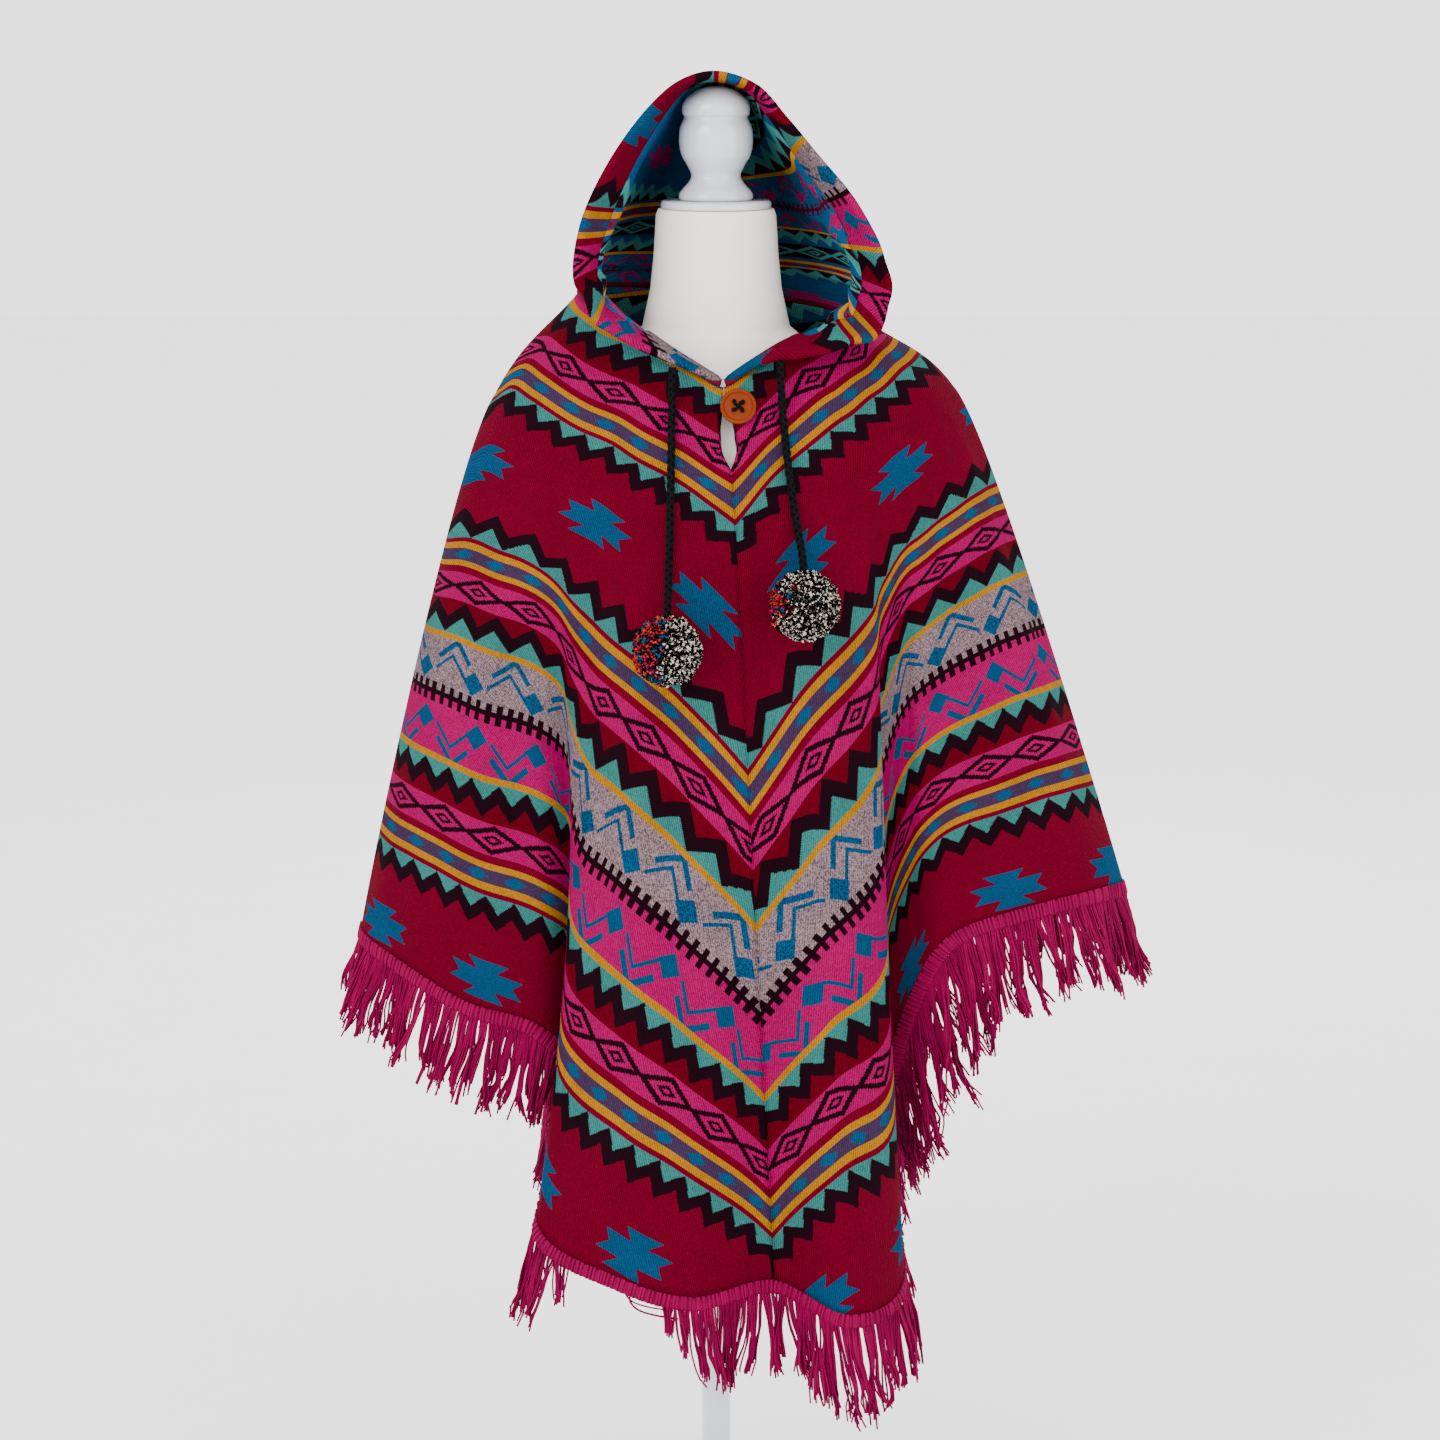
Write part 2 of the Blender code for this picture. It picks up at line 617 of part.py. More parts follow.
def ringed(name, points, faces, finish, segments, count):
    """Joins stacked rings of points into a closed solid with flat ends."""
    for j in range(count - 1):
        for k in range(segments):
            n = (k + 1) % segments
            faces.append((j * segments + k, j * segments + n, (j + 1) * segments + n, (j + 1) * segments + k))
    faces.append(tuple(reversed(range(segments))))
    faces.append(tuple(range((count - 1) * segments, count * segments)))
    return add_object(name, points, faces, finish)


def form_rings(rings):
    """Oval sections of the form, with a point under each rib of the cloth."""
    points = []
    for ring in rings:
        for at in KNOTS[:-1]:
            place = body_point(at, 1)
            angle = math.atan2(place.y / FORM_DEPTH, place.x / FORM_WIDTH)
            depth = ring.back if place.y > 0 else ring.front
            points.append(Vector((ring.half_width * math.cos(angle), depth * math.sin(angle), ring.z)) * MM)
    return points


def build_form():
    """The limbless dress form: torso and neck in one, cap, finial, pole and base."""
    cover = material("white_cover", (0.82, 0.8, 0.77), 0.8)
    gloss = material("white_gloss", (0.85, 0.85, 0.86), 0.25)
    points = form_rings(TORSO)
    for down in SHOULDER_ROWS:
        for at in KNOTS[:-1]:
            place = body_point(at, down)
            stand_off = SHOULDER_GAP + CHEST_GAP * max(0.0, 1 - abs(place.x) / (0.85 * FORM_WIDTH))
            points.append(place - body_normal(at, down) * (CLOTH / 2 + stand_off))
    points += form_rings(NECK)
    height = len(TORSO) + len(SHOULDER_ROWS) + len(NECK)
    ringed("form_torso", points, [], cover, len(RIBS), height)
    turned("neck_cap", NECK_CAP, gloss, 32)
    turned("finial", FINIAL, gloss, 20)
    turned("stand_base", BASE, gloss, 40)
    radius, low, high = POLE_RADIUS / MM, BASE[-1].z + SEAM_GAP / MM, TORSO[0].z - SEAM_GAP / MM
    turned("stand_pole", [Turn(radius, low), Turn(radius, high)], gloss, 20)


def build_button():
    """A wooden button with a raised rim and four holes, on the right edge of the slit."""
    wood = material("orange_wood", (0.6, 0.2, 0.02), 0.35)
    radius, rim, high = BUTTON_RADIUS / MM, BUTTON_RIM / MM, BUTTON_THICKNESS / MM
    profile = [
        Turn(radius - 2, 0), Turn(radius, 1.2), Turn(radius, high - 0.8), Turn(radius - 0.9, high),
        Turn(radius - rim, high), Turn(radius - rim - 1.4, high - 1.5),
    ]
    button = turned("button", profile, wood, 28)
    for k in range(4):
        angle = math.pi / 4 + k * math.pi / 2
        work = bmesh.new()
        bmesh.ops.create_cone(
            work, cap_ends=True, segments=10, radius1=BUTTON_HOLE_RADIUS, radius2=BUTTON_HOLE_RADIUS,
            depth=4 * BUTTON_THICKNESS,
        )
        mesh = bpy.data.meshes.new(f"hole_cutter_{k}")
        work.to_mesh(mesh)
        work.free()
        cutter = bpy.data.objects.new(f"hole_cutter_{k}", mesh)
        cutter.location = Vector((math.cos(angle), math.sin(angle), 0)) * BUTTON_HOLE_OFFSET
        cutter.hide_render = True
        cutter.display_type = "WIRE"
        cutter.parent = button
        bpy.context.scene.collection.objects.link(cutter)
        cut = button.modifiers.new(f"hole_{k}", "BOOLEAN")
        cut.operation = "DIFFERENCE"
        cut.object = cutter
    normal = body_normal(BUTTON_AT, BUTTON_DOWN)
    button.location = body_point(BUTTON_AT, BUTTON_DOWN) + normal * (CLOTH / 2 + BUTTON_STAND_OFF)
    button.rotation_euler = normal.to_track_quat("Z", "Y").to_euler()


clear_scene()
build_panels()
build_fringe()
build_hood()
build_cord("drawcord_left", LEFT_CORD)
build_cord("drawcord_right", RIGHT_CORD)
build_pompom("pompom_left", LEFT_POMPOM)
build_pompom("pompom_right", RIGHT_POMPOM)
build_button()
build_form()
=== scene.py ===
# %% [markdown]
# # A hooded poncho on a dress form
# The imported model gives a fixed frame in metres: +Z up, front towards -Y, the origin under the stand.
# Each soft piece is made again here on the same tables, finer, and stands for its solid.

# %% Load the frame
import math
from collections import namedtuple
from functools import partialmethod

import bpy
import numpy as np
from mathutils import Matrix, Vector


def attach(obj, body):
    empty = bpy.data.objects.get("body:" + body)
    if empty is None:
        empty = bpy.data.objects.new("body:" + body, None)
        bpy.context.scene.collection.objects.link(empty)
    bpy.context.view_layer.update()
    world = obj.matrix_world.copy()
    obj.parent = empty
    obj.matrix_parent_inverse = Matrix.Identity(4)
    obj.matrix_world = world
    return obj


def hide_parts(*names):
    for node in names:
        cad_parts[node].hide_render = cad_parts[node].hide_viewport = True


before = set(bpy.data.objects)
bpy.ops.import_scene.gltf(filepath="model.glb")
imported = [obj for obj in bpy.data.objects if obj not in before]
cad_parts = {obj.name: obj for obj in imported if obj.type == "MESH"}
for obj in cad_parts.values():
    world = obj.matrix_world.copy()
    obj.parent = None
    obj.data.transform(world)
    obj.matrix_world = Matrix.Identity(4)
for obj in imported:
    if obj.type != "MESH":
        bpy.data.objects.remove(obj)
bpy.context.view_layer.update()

MM = 0.001
ROOT = "root"
LEVEL = np.array([1, 1, 0])


def link(name, data):
    """An object in the scene, with its data."""
    obj = bpy.data.objects.new(name, data)
    bpy.context.scene.collection.objects.link(obj)
    return obj


print("nodes:", ", ".join(sorted(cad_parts)))

# %% [markdown]
# ## Camera
# The photograph looks down a little, from about three metres. It could be a matched camera with a
# shift, but the garment hangs straight, so a plain camera aimed at the middle of the cloth is enough.

# %% Camera
DISTANCE = 3.0
ELEVATION = math.radians(12)
AIM = Vector((0.0034, 0, 0.76))
FOCAL_PIXELS = 3432.5
PHOTO_PIXELS = 1440
SENSOR = 36

lens = bpy.data.cameras.new("camera")
lens.sensor_width = SENSOR
lens.lens = FOCAL_PIXELS * SENSOR / PHOTO_PIXELS
camera = link("camera", lens)
back = Vector((0, -math.cos(ELEVATION), math.sin(ELEVATION)))
camera.location = AIM + back * DISTANCE
camera.rotation_euler = (-back).to_track_quat("-Z", "Y").to_euler()
bpy.context.scene.camera = camera
print("camera at", tuple(round(x, 3) for x in camera.location))

# %% [markdown]
# ## Helpers for curves and meshes
# The drape is a surface through a few given lines. A loop over points would be slow, so the
# curve works on whole arrays. Its slopes are those of the part's source, and the shapes agree.

# %% Smooth curves through a table
def slopes(knots, points):
    """Slope at each knot, which weighs the nearer neighbour more."""
    into = np.diff(points, axis=0) / np.diff(knots)[:, None]
    gaps = np.diff(knots)
    middle = (into[:-1] * gaps[1:, None] + into[1:] * gaps[:-1, None]) / (gaps[1:] + gaps[:-1])[:, None]
    return np.vstack([into[:1], middle, into[-1:]])


def spline(knots, points, at, closed=False):
    """The curve's points at each value of at."""
    knots, points, at = np.asarray(knots, float), np.asarray(points, float), np.asarray(at, float)
    if points.ndim == 1:
        return spline(knots, points[:, None], at, closed)[..., 0]
    if closed:
        period = knots[-1]
        at = at % period
        knots = np.concatenate([[knots[-2] - period], knots, [period + knots[1]]])
        points = np.vstack([points[-1:], points, points[:2]])
    slope = slopes(knots, points)
    span = np.clip(np.searchsorted(knots, at, side="left") - 1, 0, len(knots) - 2)
    length = (knots[span + 1] - knots[span])[..., None]
    f = (at[..., None] - knots[span][..., None]) / length
    return (
        points[span] * (2 * f**3 - 3 * f**2 + 1)
        + points[span + 1] * (3 * f**2 - 2 * f**3)
        + slope[span] * length * (f**3 - 2 * f**2 + f)
        + slope[span + 1] * length * (f**3 - f**2)
    )


def unit(vectors):
    size = np.linalg.norm(vectors, axis=-1, keepdims=True)
    return vectors / np.maximum(size, 1e-12)


def along(points, axis=0):
    """Distance run so far along one axis of a grid of points."""
    step = np.linalg.norm(np.diff(points, axis=axis), axis=-1)
    start = np.zeros_like(np.take(step, [0], axis=axis))
    return np.concatenate([start, np.cumsum(step, axis=axis)], axis=axis)


def smoothed(points, count):
    """A curve through a few points, given as count points of its own."""
    return spline(np.arange(len(points)), points, np.linspace(0, len(points) - 1, count))


def sampled(steps, run, *lines):
    """Each line's points at the steps, where run is the distance along it."""
    return [np.stack([np.interp(steps, run, line[:, k]) for k in range(3)], axis=-1) for line in lines]


def turns(count):
    """Even angles once round."""
    return np.linspace(0, 2 * np.pi, count, endpoint=False)


# %% Objects from arrays
def add_mesh(name, points, faces, materials, slots=None, uv=None):
    """An object with its place in its mesh. uv is one pair for each point."""
    mesh = bpy.data.meshes.new(name)
    mesh.from_pydata(np.asarray(points, float).tolist(), [], [tuple(int(i) for i in f) for f in faces])
    for made in materials:
        mesh.materials.append(made)
    if slots is not None:
        mesh.polygons.foreach_set("material_index", np.asarray(slots, dtype=np.int32))
    if uv is not None:
        layer = mesh.uv_layers.new(name="cloth")
        corner = np.empty(len(mesh.loops), dtype=np.int32)
        mesh.loops.foreach_get("vertex_index", corner)
        layer.data.foreach_set("uv", np.asarray(uv, np.float32)[corner].ravel())
    mesh.update()
    mesh.shade_smooth()
    return link(name, mesh)


def show(obj, *nodes):
    """Fixes a finished piece to the object, in place of the nodes named."""
    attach(obj, ROOT)
    if nodes:
        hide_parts(*nodes)
    triangles = sum(len(f.vertices) - 2 for f in obj.data.polygons)
    print(f"{obj.name}: {triangles} triangles")
    return obj


def grid_faces(rows, columns, closed=False):
    """Quads of a grid, row by row."""
    i, j = np.meshgrid(np.arange(columns if closed else columns - 1), np.arange(rows - 1))
    a, b = j * columns + i, j * columns + (i + 1) % columns
    return np.stack([a, a + columns, b + columns, b], axis=-1).reshape(-1, 4)


def lidded(name, rings, paint, uv=None):
    """A closed solid of stacked rings, with a lid on its first and its last."""
    rings = np.asarray(rings)
    rows, columns = rings.shape[:2]
    faces = [tuple(f) for f in grid_faces(rows, columns, closed=True)[:, ::-1]]
    faces += [tuple(range(columns))[::-1], tuple(range((rows - 1) * columns, rows * columns))]
    return add_mesh(name, rings.reshape(-1, 3), faces, [paint], uv=uv)


def rounded_tube(name, line, radius, paint, sides=10, refine=6):
    """A closed tube through a few points."""
    fine = smoothed(np.asarray(line, float), refine * len(line))
    tangent = unit(np.gradient(fine, axis=0))
    lead = np.where(abs(tangent[:, 2:]) > 0.9, np.array([1.0, 0, 0]), np.array([0, 0, 1.0]))
    side = unit(np.cross(tangent, lead))
    front = np.cross(tangent, side)
    turn = turns(sides)[:, None]
    skin = fine[:, None] + radius * (np.cos(turn) * side[:, None] + np.sin(turn) * front[:, None])
    return lidded(name, skin, paint)


# %% [markdown]
# ## Shader maths
# A woven stripe is a rule on numbers, so the pattern is written as Python expressions. One small
# class wraps a socket, and a table of operators says which Math node each of them adds.

# %% Node trees as expressions
class Value:
    """A node's output that can be used in an expression. The table below gives it its operators."""

    def __init__(self, tree, socket):
        self.tree, self.socket = tree, socket

    def math(self, operation, *others):
        return node(self.tree, "ShaderNodeMath", {"operation": operation}, dict(enumerate((self, *others))))

    def vector(self, operation, socket, other):
        """Vector maths with one more vector, or with a number for SCALE."""
        return node(self.tree, "ShaderNodeVectorMath", {"operation": operation}, {0: self, socket: other})

    def part(self, number):
        """One of a vector's three numbers."""
        return node(self.tree, "ShaderNodeSeparateXYZ", {}, {0: self}, number)

    def __rsub__(self, other):
        return self * -1 + other

    def between(self, low, high):
        return (self > low) & (self < high)


NUMBER_MATHS = {
    "__add__": "ADD", "__radd__": "ADD", "__sub__": "SUBTRACT", "__mul__": "MULTIPLY", "__rmul__": "MULTIPLY",
    "__truediv__": "DIVIDE", "__pow__": "POWER", "__gt__": "GREATER_THAN", "__lt__": "LESS_THAN",
    "__and__": "MINIMUM", "__or__": "MAXIMUM", "__abs__": "ABSOLUTE", "floor": "FLOOR", "wrap": "WRAP",
    "pingpong": "PINGPONG", "sine": "SINE", "cosine": "COSINE",
}
for method, operation in NUMBER_MATHS.items():
    setattr(Value, method, partialmethod(Value.math, operation))
for method, operation, socket in (("plus", "ADD", 1), ("minus", "SUBTRACT", 1), ("scaled", "SCALE", "Scale")):
    setattr(Value, method, partialmethod(Value.vector, operation, socket))


def node(tree, kind, settings=(), inputs=(), output=0):
    """Adds a node: its settings first, then the values or links of its sockets."""
    made = tree.nodes.new(kind)
    for name, value in dict(settings).items():
        setattr(made, name, value)
    for name, value in dict(inputs).items():
        if isinstance(value, Value):
            tree.links.new(value.socket, made.inputs[name])
        else:
            made.inputs[name].default_value = value
    return Value(tree, made.outputs[output]) if len(made.outputs) else made


def colour(*rgb):
    """A colour as the eye names it, 0 to 255, turned into the light values that a shader takes."""
    shares = [x / 255 for x in rgb]
    return (*(c / 12.92 if c <= 0.04045 else ((c + 0.055) / 1.055) ** 2.4 for c in shares), 1.0)


def blend(tree, mask, under, over, kind="MIX"):
    """Colour over on colour under where mask is 1."""
    settings = {"data_type": "RGBA", "blend_type": kind}
    return node(tree, "ShaderNodeMix", settings, {0: mask, 6: under, 7: over}, 2)


def noise(tree, vector, scale, detail=2.0, output=0):
    return node(tree, "ShaderNodeTexNoise", {}, {"Vector": vector, "Scale": scale, "Detail": detail}, output)


def new_material(name, **constants):
    """A material, its tree and its shader, with constant values set on the shader itself."""
    made = bpy.data.materials.new(name)
    made.use_nodes = True
    shader = made.node_tree.nodes["Principled BSDF"]
    for socket, value in constants.items():
        shader.inputs[socket.replace("_", " ")].default_value = value
    return made, made.node_tree, shader


def plug(shader, socket, value):
    shader.id_data.links.new(value.socket, shader.inputs[socket])


def bump(tree, shader, height, distance, strength=1.0):
    inputs = {"Height": height, "Distance": distance, "Strength": strength}
    plug(shader, "Normal", node(tree, "ShaderNodeBump", {}, inputs))


def place(tree):
    return node(tree, "ShaderNodeTexCoord", {}, {}, "Object")


def cloth_flat(tree):
    """The two flat coordinates that a piece carries."""
    flat = node(tree, "ShaderNodeUVMap", {"uv_map": "cloth"})
    return flat.part(0), flat.part(1)


def speckled(name, scale, dark, light, detail=2.0, rough=None, relief=None, **constants):
    """A finish of two close colours in a fine noise, which can carry its roughness and its relief."""
    made, tree, shader = new_material(name, **constants)
    grain = noise(tree, place(tree), scale, detail)
    plug(shader, "Base Color", blend(tree, grain, colour(*dark), colour(*light)))
    if rough:
        plug(shader, "Roughness", rough[0] + rough[1] * grain)
    if relief:
        bump(tree, shader, grain, *relief)
    return made


# %% [markdown]
# ## The drawcord
# One round braided cord runs in the hood's casing, and its two ends hang free. A plain tube would
# look like wire, so the tube's own skin is raised where the strands of a braid cross: the strands
# run both ways at a slant, and each goes over one and under the next.

# %% Cord routes
CORD_DIAMETER = 7 * MM
LEFT_CORD = [
    (-36, -106.5, 1080), (-36, -107, 1073), (-36.1, -105.5, 1066), (-36.2, -101.5, 1060),
    (-36.3, -101, 1050), (-36.5, -103, 1040), (-36.7, -108.2, 1025), (-36.9, -113.6, 1008),
    (-37.2, -119.5, 990), (-37.6, -124.8, 972), (-38, -129.5, 954), (-38.4, -134.1, 936),
    (-38.9, -137.7, 918), (-39.3, -142.5, 903), (-39.6, -148.5, 893), (-40, -159.6, 877),
]
RIGHT_CORD = [
    (53, -100, 1084), (53.3, -101, 1076), (53.8, -100, 1066), (54.4, -98.5, 1056), (55.1, -98.5, 1046),
    (56.1, -100.5, 1034), (57.6, -106, 1019), (59.5, -112, 1002), (61.8, -117.4, 985), (64.3, -122, 968),
    (66.9, -127, 952), (69.3, -132.5, 939), (71.2, -140, 928.5), (72.6, -152.3, 913),
]
BRAID_STRANDS = 3
BRAID_PITCH = 7.0 * MM
BRAID_CORE, BRAID_LIFT, CROSSING = 0.74, 0.28, 0.28
RING_STEP = 0.65 * MM
RING_POINTS = 28


def cord_line(route):
    """The cord's centreline, in even steps."""
    rough = smoothed(np.array(route) * MM, 400)
    run = along(rough)
    steps = np.linspace(0, run[-1], round(run[-1] / RING_STEP))
    return steps, sampled(steps, run, rough)[0]


def braided(name, route, paint):
    """A closed tube along the route, with the braid raised on it."""
    steps, line = cord_line(route)
    tangent = unit(np.gradient(line, axis=0))
    side = unit(np.array([1.0, 0, 0]) - tangent * tangent[:, :1])
    front = np.cross(tangent, side)
    turn, run = np.meshgrid(turns(RING_POINTS), steps)
    p = BRAID_STRANDS * turn + 2 * np.pi * run / BRAID_PITCH
    q = BRAID_STRANDS * turn - 2 * np.pi * run / BRAID_PITCH
    over = CROSSING * np.cos(p / 2) * np.cos(q / 2)
    lift = np.maximum(abs(np.cos(p / 2)) * (1 - CROSSING + over), abs(np.cos(q / 2)) * (1 - CROSSING - over))
    radius = CORD_DIAMETER / 2 * (BRAID_CORE + BRAID_LIFT * lift)
    skin = line[:, None] + radius[..., None] * (
        np.cos(turn)[..., None] * side[:, None] + np.sin(turn)[..., None] * front[:, None]
    )
    flat = np.stack([turn / (2 * np.pi), run], axis=-1).reshape(-1, 2)
    return lidded(name, skin, paint, flat), line


# %% Cord finish and the two free ends
cord_black, tree, shader = new_material("black_cord", Specular_IOR_Level=0.03)
fibre = noise(tree, place(tree), 900, 2)
lint = noise(tree, place(tree), 260, 2)
turn, slant = cloth_flat(tree)
turn, slant = turn * (math.pi * BRAID_STRANDS), slant * (math.pi / BRAID_PITCH)
# The raised braid strands are painted lighter and the grooves between them darker, as a painted highlight and
# painted shade. The fibre and lint flecks mixed in are the yarn's own tone.
strand = abs((turn + slant).cosine()) | abs((turn - slant).cosine())
painted_strand_light_and_lint = (strand ** 3) * 0.6 + fibre * 0.25 + (lint > 0.62) * 0.15
plug(shader, "Base Color", blend(tree, painted_strand_light_and_lint, colour(0, 0, 0), colour(17, 16, 18)))
plug(shader, "Roughness", 0.7 + 0.2 * fibre)
bump(tree, shader, fibre, 0.0004, 0.6)

cords = {}
for side, route in (("left", LEFT_CORD), ("right", RIGHT_CORD)):
    made, line = braided(f"cord_{side}", route, cord_black)
    show(made, f"drawcord_{side}")
    cords[side] = (made, line)
    print(f"cord {side}: {along(line)[-1]:.4f} m")

# %% [markdown]
# ## The woven pattern
# The cloth is woven in stripes that mirror about a comb line, with toothed edges, diamonds and hooks.
# A picture could carry it, but a rule stays sharp and follows the folds, because it reads the cloth's
# own flat coordinates. The back of a double weave shows each colour's partner.

# %% Colours of the weave
FRONT = {
    "comb": colour(38, 6, 22), "grey": colour(168, 140, 146), "magenta": colour(208, 0, 112),
    "figure": colour(12, 92, 140), "gold": colour(226, 150, 22), "teal": colour(70, 156, 150),
    "dark": colour(40, 8, 24), "maroon": colour(128, 2, 30), "pink": colour(206, 0, 110),
    "field": colour(140, 3, 44), "purple": colour(84, 58, 96), "lozenge": colour(14, 100, 150),
}
BACK = dict(
    FRONT, grey=colour(12, 92, 140), magenta=colour(12, 92, 140), figure=colour(176, 14, 100),
    teal=colour(40, 8, 24), dark=colour(70, 156, 150), pink=colour(40, 8, 24), field=colour(16, 84, 134),
    lozenge=colour(146, 2, 34), maroon=colour(16, 84, 134), comb=colour(96, 4, 40),
)
Layer = namedtuple("Layer", "start toothed colour")
LAYERS = [
    Layer(52, 0, "gold"), Layer(57.5, 0, "teal"), Layer(57.5, 1, "dark"), Layer(72.5, 1, "maroon"),
    Layer(90, 0, "pink"), Layer(118, 0, "field"), Layer(124, 0, "gold"), Layer(130, 0, "purple"),
    Layer(142, 0, "gold"), Layer(148, 0, "field"), Layer(153, 0, "teal"), Layer(153, 1, "dark"),
    Layer(168, 1, "field"),
]
PERIOD = 462
WEAVE = 1.1
TOOTH, LOWER_TOOTH, LOWER_HEIGHT = 17, 13, 0.85
TWILL = 2.6
HOOK_REPEAT, HOOK_SIZE = 58, 46
GREY_HOOK_SHIFT, PINK_HOOK_SHIFT = (5, 20), (15, 24)
COMB_LINE, COMB_TOOTH, COMB_REPEAT = 2.2, 9, 10
DIAMOND_REPEAT, DIAMOND_ROW = 26, 104
DIAMONDS = ((29, 12.5, "dark"), (19, 8.0, "pink"), (10, 4.6, "dark"), (4.2, 2.2, "pink"))
LOZENGE_REPEAT, LOZENGE_ROW, LOZENGE_SIZE = 17, 136, (10, 5.2)
CROSS_REPEAT, CROSS_STEP, CROSS_HEIGHT, CROSS_ARM = 59, 9.3, 19, 25


def hooks(u, v):
    """One row of squares with a thin and a thick hook, on lines at 45 degrees."""
    across = u.wrap(HOOK_SIZE, HOOK_SIZE - HOOK_REPEAT)
    p, q = (across - v) * math.sqrt(0.5), (across + v) * math.sqrt(0.5)
    square = (abs(p) < 8) & (abs(q) < 8)
    thin = (p.between(7, 32.5) & q.between(4.6, 7.6)) | (p.between(29.8, 32.8) & q.between(4.6, 30))
    thick = (p.between(15, 41) & q.between(-8, -3)) | (p.between(36, 41) & q.between(-8, 20))
    return square | thin | thick


def woven_colour(tree, palette):
    """Colour of the weave, the cloth's flat coordinates and the distance from the comb line."""
    raw_u, raw_v = (value * 1000 for value in cloth_flat(tree))
    u, v = (((value / WEAVE).floor() + 0.5) * WEAVE for value in (raw_u, raw_v))
    w = v.wrap(PERIOD / 2, -PERIOD / 2)
    a = abs(w)
    upper, lower = u.pingpong(TOOTH), u.pingpong(LOWER_TOOTH)
    tooth = upper + (w > 0) * (lower * (TOOTH / LOWER_TOOTH * LOWER_HEIGHT) - upper)
    paint = blend(tree, w > 0, palette["grey"], palette["magenta"])
    grey_hooks = hooks(u + GREY_HOOK_SHIFT[0], w + GREY_HOOK_SHIFT[1])
    pink_hooks = hooks(u + PINK_HOOK_SHIFT[0], PINK_HOOK_SHIFT[1] - w)
    figure = (grey_hooks & (w < 0)) | (pink_hooks & (w > 0))
    paint = blend(tree, figure, paint, palette["figure"])
    comb = (a < COMB_LINE) | ((a < COMB_TOOTH) & (u.wrap(COMB_REPEAT, 0) < COMB_REPEAT / 2))
    paint = blend(tree, comb, paint, palette["comb"])
    for layer in LAYERS:
        edge = layer.start + tooth if layer.toothed else layer.start
        paint = blend(tree, a > edge, paint, palette[layer.colour])
    du, dv = abs(u.wrap(DIAMOND_REPEAT, -DIAMOND_REPEAT)), abs(a - DIAMOND_ROW)
    for width, height, name in DIAMONDS:
        paint = blend(tree, (du / width + dv / height) < 1, paint, palette[name])
    du, dv = abs(u.wrap(LOZENGE_REPEAT, -LOZENGE_REPEAT)), abs(a - LOZENGE_ROW)
    lozenge = (du / LOZENGE_SIZE[0] + dv / LOZENGE_SIZE[1]) < 1
    paint = blend(tree, lozenge, paint, palette["lozenge"])
    rise = PERIOD / 2 - a
    reach = rise + (rise < CROSS_STEP) * CROSS_ARM
    cross = (abs(u.wrap(CROSS_REPEAT, -CROSS_REPEAT)) < reach) & (rise < CROSS_HEIGHT)
    paint = blend(tree, cross, paint, palette["figure"])
    return paint, raw_u, raw_v, w


# %% Cloth materials
def woven(name, palette, light):
    made, tree, shader = new_material(name, Specular_IOR_Level=0.02)
    paint, u, v, w = woven_colour(tree, palette)
    cell = node(tree, "ShaderNodeCombineXYZ", {}, {0: (u / WEAVE).floor(), 1: (v / WEAVE).floor()})
    fleck = node(tree, "ShaderNodeTexWhiteNoise", {"noise_dimensions": "3D"}, {0: cell}, 0)
    flat = node(tree, "ShaderNodeCombineXYZ", {}, {0: u, 1: v})
    drift = noise(tree, flat, 0.02, 3)
    grey_band = (w < 0) & (w > -LAYERS[0].start)
    ridge = ((u + v) * (2 * math.pi / TWILL)).sine()
    shade = 0.24 + 0.12 * fleck + (drift - 0.5) * 0.12 + (fleck - 0.5) * grey_band * 0.22 + ridge * 0.07
    # Multiplying by light paints light into the colour: a factor above 1 makes the faces brighter than their
    # yarn.
    shade = shade * light
    grey = node(tree, "ShaderNodeCombineColor", {}, {0: shade, 1: shade, 2: shade})
    plug(shader, "Base Color", blend(tree, 1.0, paint, grey, "MULTIPLY"))
    plug(shader, "Roughness", 0.78 + 0.14 * fleck)
    twill = ridge * 0.5 + noise(tree, flat, 0.9, 2) * 0.9
    bump(tree, shader, twill, 0.0006, 0.55)
    return made


OUTSIDE = woven("woven_outside", FRONT, 1.0)
# The inside faces are painted 1.9 times brighter. This painted light stands in for the lamp light that barely
# reaches inside the hood.
INSIDE = woven("woven_inside", BACK, 1.9)
print("weave nodes:", len(OUTSIDE.node_tree.nodes))

# %% [markdown]
# ## The drape
# Each row is one ridge or valley of the hanging cloth, as in the part's source, and its last column
# says where the woven stripes cross that line, in millimetres from the comb, at eight places from
# the neck (0) past the yoke (1) to the hem (2). A simulation could drape the cloth, but it would not
# land on the photograph's folds.

